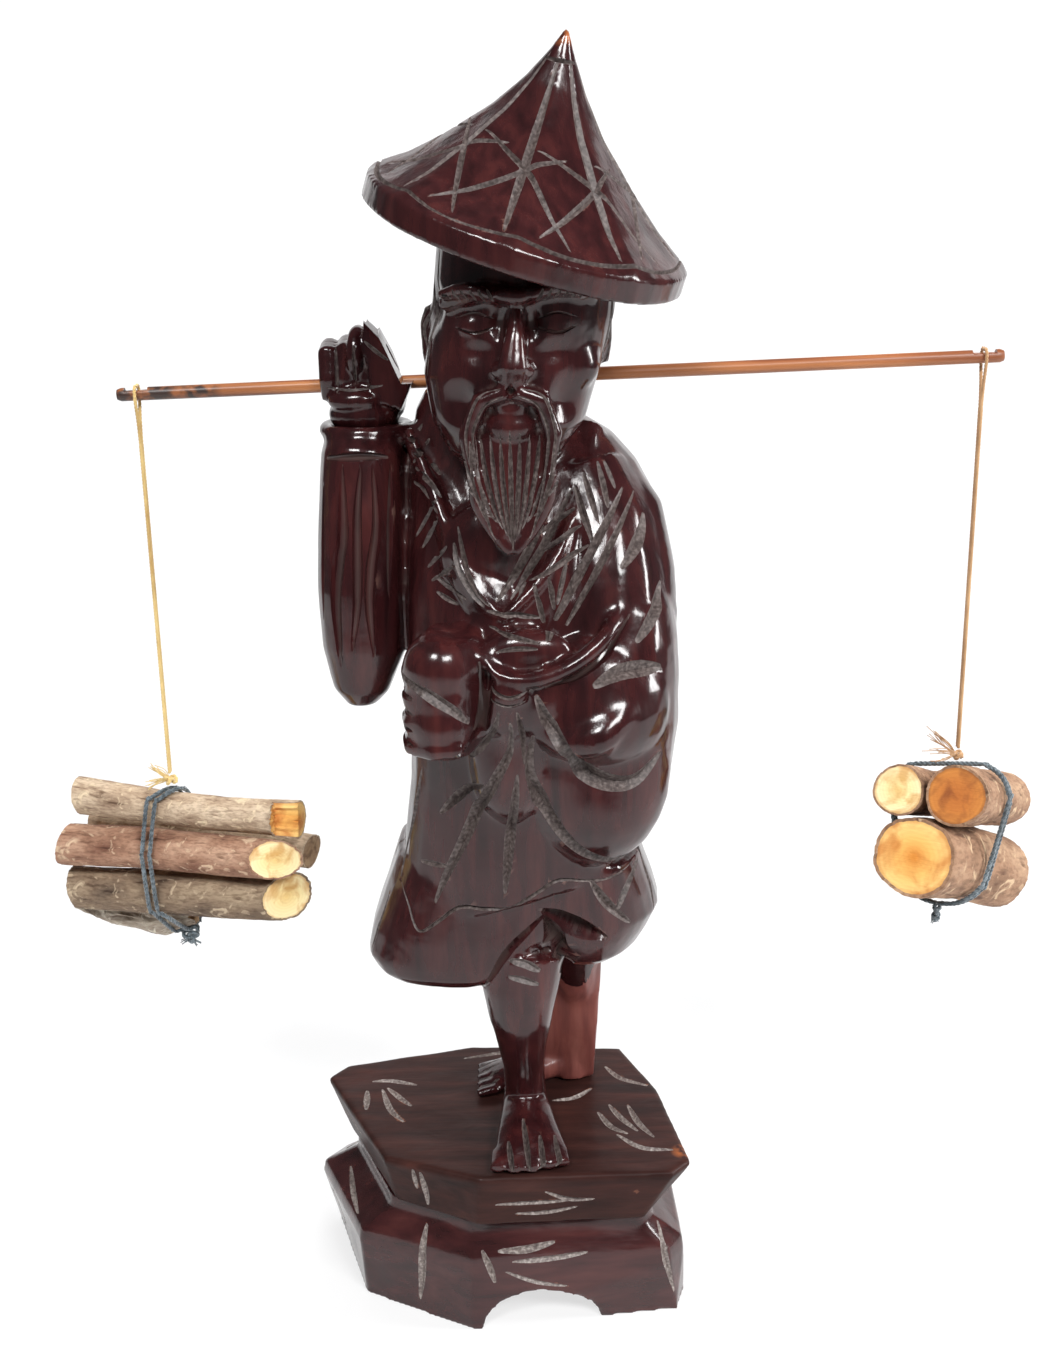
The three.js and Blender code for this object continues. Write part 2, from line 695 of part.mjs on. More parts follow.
function elasticTie(logs, lean, knotTop) {
  const count = elasticPointsPerTurn * elasticTurns;
  const start = -Math.PI / 2;
  const loops = Array.from({ length: count + 1 }, (_, i) => {
    const angle = start + (2 * Math.PI * i) / elasticPointsPerTurn;
    const front = (1 + Math.cos(angle - Math.PI)) / 2;
    const advance = elasticPitch * ((elasticTurns * i) / count - elasticTurns / 2);
    const x = advance - lean * (front ** 2 - 0.25);
    return [x, ...wrapPoint(logs, x, angle, elasticOffset)];
  });
  console.log(`elastic tie: least gap between its turns ${leastTurnGap(loops).toFixed(2)} mm`);
  const first = [loops[0][0], loops[0][1], knotTop];
  const last = [loops[count][0], loops[count][1], knotTop];
  return cord([first, ...loops, last], elasticRadius, { sides: 6 });
}

function tieKnot() {
  const knot = new THREE.SphereGeometry(tieKnotRadius, 12, 8).scale(1.25, 0.8, 1);
  const tails = [-1, 1].map((side) => limb([
    [side * 0.8, 0, -1, 0.6, 0.6],
    [side * 1.5, 0.2, -2.6, 0.65, 0.65],
    [side * 1.9, -0.2, -4, 0.75, 0.75],
  ], { sides: 8 }));
  return shapeOf(joined([knot, ...tails]));
}

// Each bundle hangs from its knot: yaw turns the logs about the string, tilt drops their far end.
function hangingBundle(side, { notch, drop, yaw, tilt, lean, logs }) {
  const swing = new THREE.Group();
  swing.position.x = notch;
  swing.rotation.y = slope;
  pole.add(swing);
  swing.add(named(`${side}_string`, hangingString(drop), thread));

  const knot = new THREE.Group();
  knot.position.z = -drop;
  swing.add(knot);
  knot.add(named(`${side}_string_knot`, stringKnot(), thread));

  const bundle = new THREE.Group();
  bundle.rotation.set(0, THREE.MathUtils.degToRad(tilt), THREE.MathUtils.degToRad(yaw), 'ZYX');
  knot.add(bundle);
  const hang = new THREE.Group();
  hang.position.z = -(tieHeight(logs, 0, Math.PI / 2) + elasticRadius + clearance + stringKnotRadius);
  bundle.add(hang);
  logs.forEach((stations, i) => hang.add(named(`${side}_log_${i + 1}`, log(stations), bark)));
  const bottom = wrapPoint(logs, 0, -Math.PI / 2, elasticOffset);
  const knotTop = bottom[1] - elasticRadius - clearance;
  hang.add(named(`${side}_elastic_tie`, elasticTie(logs, lean, knotTop), elastic));
  const crimp = named(`${side}_tie_knot`, tieKnot(), elastic);
  crimp.position.set(0, bottom[0], knotTop - clearance - tieKnotRadius);
  hang.add(crimp);
}

hangingBundle('left', {
  notch: -notchOffset,
  drop: leftDrop,
  yaw: -13,
  tilt: 0,
  lean: 6.5,
  logs: [
    [[-25.4, 0, -3.9, 4.9], [-12, 0, -4.9, 4.7], [-2, 0, -5.6, 4.2], [14, 0, -6, 4.3], [33.6, 0, -6.3, 4.9]],
    [[-29.2, -2, -16.7, 5.6], [-7, -2, -15.9, 5.4], [10, -3, -15.6, 5.3], [26, -4.6, -15.3, 4.9]],
    [[-28.9, -1, -29, 5.5], [-7, -1, -28.4, 5.8], [12, -1, -27.8, 6.1], [29.4, -1, -26.9, 6.4]],
    [[-27, 8.8, -15.2, 4.4], [0, 8.5, -16.2, 4.5], [33, 8.4, -18.2, 4.5]],
    [[-33, 7, -35.6, 3.8], [-22, 5.9, -37.2, 4.8], [-10, 4.6, -37.8, 4.6], [2.5, 3.4, -36.2, 2.4]],
  ],
});
hangingBundle('right', {
  notch: notchOffset,
  drop: rightDrop,
  yaw: 61,
  tilt: 20,
  lean: 0,
  logs: [
    [[-21, 7.7, -10.4, 5.9], [8, 7.6, -10.4, 5.7], [35, 7.5, -10.4, 5.5]],
    [[-21, -5.5, -9.3, 6.7], [8, -5.6, -9.4, 6.9], [35, -5.9, -9.6, 7.2]],
    [[-21, 1.9, -26, 9.2], [8, -1.9, -27.6, 9.5], [35, -6.3, -29.4, 10]],
  ],
});

export default sculpture;
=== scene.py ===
import json
import math
import random

import bpy
import bmesh
import numpy as np
from mathutils import Matrix, Vector, noise
from mathutils.bvhtree import BVHTree


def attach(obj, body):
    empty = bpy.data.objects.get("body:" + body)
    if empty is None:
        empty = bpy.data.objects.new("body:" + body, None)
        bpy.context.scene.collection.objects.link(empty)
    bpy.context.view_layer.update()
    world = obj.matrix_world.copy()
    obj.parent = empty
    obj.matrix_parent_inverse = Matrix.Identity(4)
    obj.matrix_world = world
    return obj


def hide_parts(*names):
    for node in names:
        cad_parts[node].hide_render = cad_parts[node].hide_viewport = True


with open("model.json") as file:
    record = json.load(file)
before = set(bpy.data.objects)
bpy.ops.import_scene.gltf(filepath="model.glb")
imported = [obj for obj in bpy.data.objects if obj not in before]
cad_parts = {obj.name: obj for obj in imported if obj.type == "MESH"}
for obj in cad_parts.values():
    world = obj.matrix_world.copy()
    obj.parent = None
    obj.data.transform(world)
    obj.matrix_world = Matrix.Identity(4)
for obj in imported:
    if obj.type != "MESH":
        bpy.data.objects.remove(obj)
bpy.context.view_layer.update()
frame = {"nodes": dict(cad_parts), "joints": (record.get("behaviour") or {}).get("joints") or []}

# Camera
# A level eye, a little above the hat's brim, looks down at the figure's belt from arm's length.
# The horizon leans by about a degree.
camera_place = Vector((0.0084, -0.3617, 0.269))
camera_pitch = math.radians(17.2)
camera_roll = math.radians(0.92)
camera_data = bpy.data.cameras.new("camera")
camera_data.lens = 42.67
camera_data.sensor_width = 36
camera_data.clip_start = 0.01
camera_data.clip_end = 20
camera = bpy.data.objects.new("camera", camera_data)
bpy.context.scene.collection.objects.link(camera)
camera.matrix_world = (Matrix.Translation(camera_place)
                       @ Matrix.Rotation(math.pi / 2 - camera_pitch, 4, "X")
                       @ Matrix.Rotation(-camera_roll, 4, "Z"))
bpy.context.scene.camera = camera

# Strings
# Each string is one length of soft two-ply thread, doubled over the notch in the pole and knotted
# round the bundle's elastic. The weight of the twigs keeps both strands taut.
mm = 0.001
sides = ("left", "right")
pivot = {joint["name"]: Vector(joint["pos_m"]) for joint in frame["joints"] if "pos_m" in joint}
string_radius = 0.4
strand_apart = 0.6
pole_radius = 1.6
notch_depth = 0.8
fit_gap = 0.3
knot_radius = 1.7
string_drop = {"left": 96, "right": 98.2}


black = (0, 0, 0)
white = (1, 1, 1)


def colour_of(red, green, blue):
    return (red, green, blue, 1)


def new_material(name, roughness, sheen=0.0, coat=0.0, coat_roughness=0.1):
    material = bpy.data.materials.new(name)
    material.use_nodes = True
    shader = material.node_tree.nodes["Principled BSDF"]
    shader.inputs["Roughness"].default_value = roughness
    shader.inputs["Sheen Weight"].default_value = sheen
    shader.inputs["Coat Weight"].default_value = coat
    shader.inputs["Coat Roughness"].default_value = coat_roughness
    return material


def spots(material, scale, detail=3.0, stretch=(1, 1, 1), source="Object", distortion=0.0):
    """A noise pattern on the piece, stretched along an axis. Returns its value socket."""
    nodes, links = material.node_tree.nodes, material.node_tree.links
    place = nodes.new("ShaderNodeMapping")
    place.inputs["Scale"].default_value = stretch
    if source == "Object":
        links.new(nodes.new("ShaderNodeTexCoord").outputs["Object"], place.inputs["Vector"])
    else:
        attribute = nodes.new("ShaderNodeAttribute")
        attribute.attribute_name = source
        links.new(attribute.outputs["Vector"], place.inputs["Vector"])
    pattern = nodes.new("ShaderNodeTexNoise")
    pattern.inputs["Scale"].default_value = scale
    pattern.inputs["Detail"].default_value = detail
    pattern.inputs["Distortion"].default_value = distortion
    links.new(place.outputs["Vector"], pattern.inputs["Vector"])
    return pattern.outputs["Fac"]


def ramp(material, value, stops):
    """Colours along a value: stops are (place, colour)."""
    nodes, links = material.node_tree.nodes, material.node_tree.links
    band = nodes.new("ShaderNodeValToRGB")
    while len(band.color_ramp.elements) < len(stops):
        band.color_ramp.elements.new(0.5)
    for element, (place, colour) in zip(band.color_ramp.elements, stops):
        element.position = place
        element.color = colour_of(*colour)
    links.new(value, band.inputs["Fac"])
    return band.outputs["Color"]


def blended(material, share, low, high, mode="MIX"):
    """Mixes two colours by a share, each a socket or a colour."""
    nodes, links = material.node_tree.nodes, material.node_tree.links
    mix = nodes.new("ShaderNodeMix")
    mix.data_type = "RGBA"
    mix.blend_type = mode
    for socket, value in ((mix.inputs["Factor"], share), (mix.inputs[6], low), (mix.inputs[7], high)):
        if isinstance(value, bpy.types.NodeSocket):
            links.new(value, socket)
        else:
            socket.default_value = value if isinstance(value, float) else colour_of(*value)
    return mix.outputs[2]


def paint(material, colour):
    shader = material.node_tree.nodes["Principled BSDF"]
    material.node_tree.links.new(colour, shader.inputs["Base Color"])


def roughen(material, value, low, high):
    """Roughness that runs from low to high with a value."""
    nodes, links = material.node_tree.nodes, material.node_tree.links
    spread = nodes.new("ShaderNodeMapRange")
    spread.inputs["To Min"].default_value = low
    spread.inputs["To Max"].default_value = high
    links.new(value, spread.inputs["Value"])
    links.new(spread.outputs["Result"], nodes["Principled BSDF"].inputs["Roughness"])


def emboss(material, value, depth, under=None):
    """A bump of a real depth in millimetres, on top of another bump if one is given."""
    nodes, links = material.node_tree.nodes, material.node_tree.links
    bump = nodes.new("ShaderNodeBump")
    bump.inputs["Strength"].default_value = 1.0
    bump.inputs["Distance"].default_value = depth * mm
    links.new(value, bump.inputs["Height"])
    if under is not None:
        links.new(under, bump.inputs["Normal"])
    links.new(bump.outputs["Normal"], nodes["Principled BSDF"].inputs["Normal"])
    return bump.outputs["Normal"]


def object_of(name, data, *materials):
    piece = bpy.data.objects.new(name, data)
    bpy.context.scene.collection.objects.link(piece)
    for material in materials:
        data.materials.append(material)
    return piece


def object_from(name, mesh, *materials):
    """A new object from an edit mesh, which it frees, with its faces turned outward."""
    bmesh.ops.recalc_face_normals(mesh, faces=mesh.faces)
    data = bpy.data.meshes.new(name)
    mesh.to_mesh(data)
    mesh.free()
    return object_of(name, data, *materials)


def skinned(mesh, rings):
    """The faces between rings of corners, each ring joined to the next."""
    faces = []
    for low, high in zip(rings, rings[1:]):
        for k in range(len(low)):
            after = (k + 1) % len(low)
            faces.append(mesh.faces.new((low[k], low[after], high[after], high[k])))
    return faces


def capped(mesh, rings):
    """Flat faces over the first and the last ring."""
    return [mesh.faces.new(rings[0][::-1]), mesh.faces.new(rings[-1])]


def round_angles(count):
    return [2 * math.pi * k / count for k in range(count)]


def smooth_route(points, spacing):
    """Points about spacing apart on the smooth curve through the given ones, all in millimetres."""
    places = [Vector(p) for p in points]
    places = [2 * places[0] - places[1], *places, 2 * places[-1] - places[-2]]
    route = []
    for before, start, end, after in zip(places, places[1:], places[2:], places[3:]):
        steps = max(1, round((end - start).length / spacing))
        for i in range(steps):
            t = i / steps
            route.append(0.5 * (2 * start + (end - before) * t
                                + (2 * before - 5 * start + 4 * end - after) * t ** 2
                                + (3 * start - before - 3 * end + after) * t ** 3))
    return [*route, places[-2]]


def carried_frames(route):
    """For each point of a route, two directions square to it that turn as little as they can."""
    frames = []
    side = None
    for i, place in enumerate(route):
        along = (route[min(i + 1, len(route) - 1)] - route[max(i - 1, 0)]).normalized()
        if side is None:
            side = along.orthogonal().normalized()
        side = (side - along * side.dot(along)).normalized()
        frames.append((place, side, along.cross(side)))
    return frames


def laid_cord(name, route, plies, ply_radius, lay_radius, pitch, material, around=8):
    """A cord of twisted plies along a route in millimetres, as one mesh of closed tubes."""
    frames = carried_frames(route)
    run = [0.0]
    for a, b in zip(route, route[1:]):
        run.append(run[-1] + (b - a).length)
    mesh = bmesh.new()
    for ply in range(plies):
        rings = []
        for (place, side, up), length in zip(frames, run):
            turn = 2 * math.pi * (ply / plies + (length / pitch if pitch else 0))
            middle = place + lay_radius * (side * math.cos(turn) + up * math.sin(turn))
            rings.append([mesh.verts.new(mm * (middle + ply_radius * (side * math.cos(a) + up * math.sin(a))))
                          for a in round_angles(around)])
        skinned(mesh, rings)
        capped(mesh, rings)
    for face in mesh.faces:
        face.smooth = True
    return object_from(name, mesh, material)


def thread_material(name, light, dark):
    """Spun cotton: fine hairs along the strand, a little darker where it is soiled."""
    material = new_material(name, roughness=0.9, sheen=0.4)
    soiling = spots(material, 90, detail=4)
    fibres = spots(material, 1500, detail=2, stretch=(1, 1, 0.35))
    tint = ramp(material, soiling, [(0.35, dark), (0.65, light)])
    paint(material, blended(material, 0.35, tint, ramp(material, fibres, [(0.3, dark), (0.7, light)])))
    emboss(material, fibres, 0.05)
    return material


string_thread = {
    "left": thread_material("cream_thread", (0.80, 0.60, 0.25), (0.50, 0.31, 0.10)),
    "right": thread_material("tan_thread", (0.62, 0.38, 0.19), (0.36, 0.19, 0.08)),
}
plies = 3
ply_pitch = 2.6
for side in sides:
    knot_top = -string_drop[side] + knot_radius + fit_gap
    hug = pole_radius + fit_gap + string_radius
    over = pole_radius - notch_depth + fit_gap + string_radius
    strand = [(strand_apart, knot_top), (strand_apart, knot_top * 0.66), (strand_apart, knot_top * 0.33),
              (strand_apart + 0.1, -12), (strand_apart + 0.5, -6.5), (hug * 0.86, -2.6),
              (hug, -0.6), (hug * 0.92, 0.9), (hug * 0.55, over + 0.35)]
    loop = ([(0, -y, z) for y, z in strand] + [(0, 0, over + 0.1)]
            + [(0, y, z) for y, z in reversed(strand)])
    top = pivot[side + "_swing"] / mm
    route = [top + point for point in smooth_route(loop, 0.42)]
    string = laid_cord(f"{side}_string_thread", route, plies, 0.235, 0.2, ply_pitch, string_thread[side])
    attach(string, side + "_string")
    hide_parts(side + "_string")

# String knots
# Each string ends in a pulled overhand knot on the elastic. Its cut tails have come apart into
# loose fibres that stand out to the left.
knot_fold = 0.49
tail_fibres = 26
tail_lengths = {"left": (6.5, 1.5), "right": (9.5, 4.5)}


def joined(pieces):
    """Joins pieces into the first of them."""
    bpy.ops.object.select_all(action="DESELECT")
    for piece in pieces:
        piece.select_set(True)
    bpy.context.view_layer.objects.active = pieces[0]
    bpy.ops.object.join()
    return pieces[0]


for side in sides:
    draw = random.Random(side)
    middle = pivot[side + "_turn"] / mm
    loops = [(knot_fold * (math.sin(t) + 2 * math.sin(2 * t)),
              knot_fold * (math.cos(t) - 2 * math.cos(2 * t)),
              knot_fold * (-1.3 * math.sin(3 * t))) for t in np.linspace(0.2, 2 * math.pi + 0.1, 26)]
    route = [middle + point for point in smooth_route(loops, 0.25)]
    pieces = [laid_cord(f"{side}_thread_knot", route, plies, 0.25, 0.22, ply_pitch, string_thread[side])]
    reach, rise = tail_lengths[side]
    for i in range(tail_fibres):
        bundle_side = 1 if i % 2 else -1
        away = Vector((-1, 0.45 * bundle_side + draw.uniform(-0.25, 0.25),
                       rise / reach + 0.35 * bundle_side + draw.uniform(-0.3, 0.3))).normalized()
        length = reach * draw.uniform(0.45, 1)
        bow = Vector([draw.uniform(-0.8, 0.8) for _ in range(3)])
        start = middle + Vector((-0.6, 0.5 * bundle_side, 0.4)) + 0.3 * bow
        points = [start, start + away * length * 0.4 + 0.6 * bow, start + away * length - 0.5 * bow]
        pieces.append(laid_cord("fibre", smooth_route(points, 0.6), 1, 0.1, 0, 0, string_thread[side],
                                around=5))
    knot = joined(pieces)
    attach(knot, side + "_knot")
    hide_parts(side + "_string_knot")

# Twigs
# Prunings sawn or snapped to about 60 mm, stacked by hand. Each is a row of stations, given as
# (along the bundle, away from it, up, radius) in millimetres, from the bundle's knot.
twig_stations = {
    "left": [
        [(-25.4, 0, -3.9, 4.9), (-12, 0, -4.9, 4.7), (-2, 0, -5.6, 4.2), (14, 0, -6, 4.3),
         (33.6, 0, -6.3, 4.9)],
        [(-29.2, -2, -16.7, 5.6), (-7, -2, -15.9, 5.4), (10, -3, -15.6, 5.3), (28.6, -5, -15.4, 5.2)],
        [(-28.9, -1, -29, 5.5), (-7, -1, -28.4, 5.8), (12, -1, -27.8, 6.1), (29.4, -1, -26.9, 6.4)],
        [(-27, 8.8, -15.2, 4.4), (0, 8.5, -16.2, 4.5), (33, 8.4, -18.2, 4.5)],
        [(-33, 7, -35.6, 3.8), (-22, 5.9, -37.2, 4.8), (-10, 4.6, -37.8, 4.6), (2.5, 3.4, -36.2, 2.4)],
    ],
    "right": [
        [(-21, 8.0, -10.4, 6.4), (8, 7.7, -10.6, 6.0), (34.3, 7.5, -10.6, 5.7)],
        [(-21, -5.9, -9.6, 7.5), (8, -5.7, -9.7, 7.3), (34.3, -5.9, -9.7, 7.3)],
        [(-21, 1.9, -25.6, 9.9), (8, -1.6, -26.4, 10.1), (34, -6.1, -29, 9.8)],
    ],
}
bundle_yaw = {"left": -13, "right": 61}
bundle_tilt = {"left": 0, "right": 20}
bundle_lean = {"left": 6.5, "right": 0}
elastic_radius = 0.55
elastic_standoff = 0.45
elastic_pitch = 2.15
elastic_turns = 2
points_per_turn = 24
rock_room = 0.3


def share_of(value, low, high):
    """How far a value lies between two others, from 0 to 1."""
    return min(max((value - low) / (high - low), 0), 1)


def twig_at(stations, x):
    """The twig's [x, y, z, radius] at a place along it."""
    for a, b in zip(stations, stations[1:]):
        if x <= b[0]:
            break
    share = share_of(x, a[0], b[0])
    return [p + share * (q - p) for p, q in zip(a, b)]


def wrap_point(side, x, angle):
    """Where a tight cord's middle lies round the twigs, looked at in the direction given."""
    way = (math.cos(angle), math.sin(angle))
    spots_on = [twig_at(stations, x) for stations in twig_stations[side]]
    furthest = max(spots_on, key=lambda s: s[1] * way[0] + s[2] * way[1] + s[3])
    out = furthest[3] + elastic_radius + elastic_standoff
    return furthest[1] + out * way[0], furthest[2] + out * way[1]


def tie_height(side):
    """The height of the tie's top over the knot's line, between the two twigs that it bridges."""
    near = wrap_point(side, 0, math.pi / 2 - 0.35)
    far = wrap_point(side, 0, math.pi / 2 + 0.35)
    return near[1] + share_of(0, near[0], far[0]) * (far[1] - near[1])


def bundle_place(side):
    """Where the bundle's own frame lies in the world, in millimetres."""
    hang = -(tie_height(side) + elastic_radius + fit_gap + knot_radius + rock_room)
    return (Matrix.Translation(pivot[side + "_turn"] / mm)
            @ Matrix.Rotation(math.radians(bundle_yaw[side]), 4, "Z")
            @ Matrix.Rotation(math.radians(bundle_tilt[side]), 4, "Y")
            @ Matrix.Translation((0, 0, hang)))


def end_grain(name, pith, heart, sap, rim):
    """A sawn end: growth rings round the pith, paler sapwood, a thin darker rim under the bark."""
    material = new_material(name, roughness=0.75)
    nodes, links = material.node_tree.nodes, material.node_tree.links
    attribute = nodes.new("ShaderNodeAttribute")
    attribute.attribute_name = "twig_place"
    across = nodes.new("ShaderNodeVectorMath")
    across.operation = "MULTIPLY"
    across.inputs[1].default_value = (0, 1, 1)
    links.new(attribute.outputs["Vector"], across.inputs[0])
    radius = nodes.new("ShaderNodeVectorMath")
    radius.operation = "LENGTH"
    links.new(across.outputs["Vector"], radius.inputs[0])
    tint = ramp(material, radius.outputs["Value"], [(0.05, pith), (0.45, heart), (0.8, sap), (0.97, rim)])
    rings = nodes.new("ShaderNodeTexWave")
    rings.wave_type = "RINGS"
    rings.rings_direction = "X"
    rings.inputs["Scale"].default_value = 2.6
    rings.inputs["Distortion"].default_value = 2.4
    rings.inputs["Detail"].default_value = 2.0
    links.new(attribute.outputs["Vector"], rings.inputs["Vector"])
    lines = ramp(material, rings.outputs["Fac"], [(0.2, (0.62, 0.5, 0.36)), (0.7, white)])
    tint = blended(material, 0.09, tint, lines, "MULTIPLY")
    stain = spots(material, 1.3, detail=6, source="twig_place", distortion=0.6)
    tint = blended(material, 0.7, tint, ramp(material, stain, [(0.36, rim), (0.56, white)]), "MULTIPLY")
    paint(material, tint)
    saw = spots(material, 7, detail=4, source="twig_place", stretch=(1, 0.25, 3))
    emboss(material, saw, 0.12)
    return material


def bark_material(name, dark, middle, light, fleck):
    """Bark: soft mottling and fine fibres along the twig, a few fissures, patches of lichen."""
    material = new_material(name, roughness=0.92)
    mottle = spots(material, 0.9, detail=6, source="twig_place", stretch=(0.5, 1, 1))
    tint = ramp(material, mottle, [(0.34, dark), (0.5, middle), (0.66, light)])
    fibres = spots(material, 9, detail=7, source="twig_place", stretch=(0.4, 1, 1))
    shade = ramp(material, fibres, [(0.34, (0.52, 0.46, 0.43)), (0.58, white)])
    tint = blended(material, 0.7, tint, shade, "MULTIPLY")
    fissures = spots(material, 3.1, detail=6, source="twig_place", stretch=(0.16, 1, 1), distortion=0.3)
    shade = ramp(material, fissures, [(0.33, (0.34, 0.26, 0.22)), (0.41, white)])
    tint = blended(material, 0.8, tint, shade, "MULTIPLY")
    lichen = ramp(material, spots(material, 1.9, detail=7, source="twig_place", distortion=1.0),
                  [(0.58, black), (0.68, (0.8, 0.8, 0.8))])
    paint(material, blended(material, lichen, tint, fleck))
    fine = spots(material, 24, detail=5, source="twig_place", stretch=(0.8, 1, 1))
    emboss(material, fissures, 0.35, under=emboss(material, fine, 0.16))
    return material


def sawn(lean_away=0.0, lean_up=0.0):
    """A sawn end that leans, with the saw's slight waviness."""
    return lambda y, z: lean_away * y + lean_up * z + 0.12 * noise.noise(Vector((0, 0.9 * y, 3 * z)))


def snapped(away, up, edge, depth):
    """A sawn end with one side split off to a depth. Fibres stand up along the split."""
    def end(y, z):
        across = y * away + z * up + 0.8 * noise.noise(Vector((3, y, z)))
        share = share_of(across, edge - 0.35, edge + 0.35)
        split = share * share * (3 - 2 * share)
        return -depth * split + (0.2 + 0.5 * split) * noise.noise(Vector((0, 5 * y, 5 * z)))
    return end


def twig(name, stations, place, bark, face, near_end, far_end, seed, fissure=0.3, bump=None):
    """A bark-covered round with its two cut faces, built ring by ring along its own line."""
    angles = round_angles(72)
    rows = max(40, round((stations[-1][0] - stations[0][0]) / 0.6))
    face_rings = 12
    first, last = stations[0], stations[-1]
    mesh = bmesh.new()
    layer = mesh.verts.layers.float_vector.new("twig_place")

    def vertex(x, y, z, at):
        made = mesh.verts.new(mm * (place @ Vector((x, y, z))))
        made[layer] = (x / at[3], (y - at[1]) / at[3], (z - at[2]) / at[3])
        return made

    def reach_at(x, angle, at):
        y, z = math.cos(angle) * at[3], math.sin(angle) * at[3]
        ridges = noise.noise(Vector((0.16 * x + seed, 0.75 * y, 0.75 * z)))
        swell = noise.noise(Vector((0.05 * x, 0.13 * y + seed, 0.13 * z)))
        reach = at[3] * (1 - 0.02 * (1 + math.cos(3 * angle + seed))) - fissure * abs(ridges) + 0.5 * swell
        if bump is not None:
            away = math.hypot((x - bump[0]) / bump[2], at[3] * math.sin((angle - bump[1]) / 2) * 2 / bump[2])
            reach += bump[3] * math.exp(-away * away)
        return reach

    def end_ring(at, end, way, share):
        ring = []
        for angle in angles:
            reach = share * reach_at(at[0], angle, at)
            y, z = reach * math.cos(angle), reach * math.sin(angle)
            ring.append(vertex(at[0] + way * end(y, z), at[1] + y, at[2] + z, at))
        return ring

    starts = [first[0] - near_end(math.cos(a) * first[3], math.sin(a) * first[3]) for a in angles]
    ends = [last[0] + far_end(math.cos(a) * last[3], math.sin(a) * last[3]) for a in angles]
    rings = [end_ring(first, near_end, -1, 1.0)]
    for i in range(1, rows):
        ring = []
        for angle, start, end in zip(angles, starts, ends):
            x = start + (end - start) * i / rows
            at = twig_at(stations, x)
            reach = reach_at(x, angle, at)
            ring.append(vertex(x, at[1] + reach * math.cos(angle), at[2] + reach * math.sin(angle), at))
        rings.append(ring)
    rings.append(end_ring(last, far_end, 1, 1.0))
    skinned(mesh, rings)
    for at, end, way, outer in ((first, near_end, -1, rings[0]), (last, far_end, 1, rings[-1])):
        for i in range(1, face_rings):
            inner = end_ring(at, end, way, 1 - i / face_rings)
            for made in skinned(mesh, [outer, inner]):
                made.material_index = 1 if i > 1 else 0
            outer = inner
        middle = vertex(at[0] + way * end(0, 0), at[1], at[2], at)
        for corner, after in zip(outer, outer[1:] + outer[:1]):
            mesh.faces.new((corner, after, middle)).material_index = 1
    for made in mesh.faces:
        made.smooth = True
    piece = object_from(name, mesh, bark, face)
    piece.data.set_sharp_from_angle(angle=math.radians(50))
    return piece


tan_bark = bark_material(
    "tan_bark", (0.30, 0.20, 0.13), (0.52, 0.39, 0.27), (0.68, 0.54, 0.39), (0.76, 0.62, 0.42))
red_bark = bark_material(
    "red_bark", (0.20, 0.09, 0.055), (0.38, 0.21, 0.135), (0.54, 0.34, 0.23), (0.68, 0.50, 0.34))
grey_bark = bark_material(
    "grey_bark", (0.125, 0.085, 0.057), (0.25, 0.175, 0.115), (0.37, 0.28, 0.185), (0.57, 0.45, 0.31))
lichen_bark = bark_material(
    "lichen_bark", (0.27, 0.21, 0.16), (0.46, 0.39, 0.31), (0.62, 0.55, 0.44), (0.78, 0.72, 0.60))
pink_bark = bark_material(
    "pink_bark", (0.20, 0.108, 0.06), (0.35, 0.20, 0.118), (0.47, 0.30, 0.185), (0.66, 0.48, 0.30))
cream_end = end_grain(
    "cream_end", (0.85, 0.60, 0.24), (0.93, 0.76, 0.38), (0.95, 0.80, 0.46), (0.66, 0.36, 0.12))
yellow_end = end_grain(
    "yellow_end", (0.66, 0.24, 0.03), (0.85, 0.48, 0.13), (0.88, 0.57, 0.20), (0.60, 0.27, 0.07))
orange_end = end_grain(
    "orange_end", (0.44, 0.13, 0.018), (0.50, 0.16, 0.025), (0.55, 0.20, 0.035), (0.22, 0.07, 0.015))
brown_end = end_grain(
    "brown_end", (0.30, 0.17, 0.08), (0.42, 0.26, 0.13), (0.46, 0.30, 0.16), (0.2, 0.11, 0.06))
twig_looks = {
    "left": [
        dict(bark=tan_bark, face=yellow_end, near_end=sawn(0.05, 0.1), far_end=snapped(-1, 0.15, 1.2, 6.0),
             seed=1.3, bump=(-16, math.pi * 0.75, 2.2, 0.5)),
        dict(bark=red_bark, face=cream_end, near_end=sawn(-0.1, -0.16), far_end=sawn(1.05, -0.35), seed=4.1,
             fissure=0.45),
        dict(bark=grey_bark, face=cream_end, near_end=sawn(0.1, 0.14), far_end=sawn(0.72, -0.1), seed=7.7,
             fissure=0.5),
        dict(bark=tan_bark, face=brown_end, near_end=sawn(), far_end=sawn(0.2, 0.1), seed=2.2),
        dict(bark=lichen_bark, face=brown_end, near_end=snapped(0.4, 0.9, 0.2, 2.2),
             far_end=snapped(-0.2, 1, 0.1, 1.8), seed=9.4, fissure=1.2, bump=(-6, -math.pi * 0.62, 4.5, 1.6)),
    ],
    "right": [
        dict(bark=pink_bark, face=cream_end, near_end=sawn(-0.06, 0.04), far_end=sawn(0.1), seed=3.9),
        dict(bark=pink_bark, face=orange_end, near_end=sawn(0.05, -0.05), far_end=sawn(0, 0.1), seed=6.2),
        dict(bark=pink_bark, face=yellow_end, near_end=sawn(0.05, 0.02), far_end=sawn(0, -0.1), seed=8.8,
             fissure=0.45),
    ],
}
for side in sides:
    place = bundle_place(side)
    for number, (stations, looks) in enumerate(zip(twig_stations[side], twig_looks[side]), 1):
        piece = twig(f"{side}_twig_{number}", stations, place, **looks)
        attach(piece, side + "_bundle")
        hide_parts(f"{side}_log_{number}")

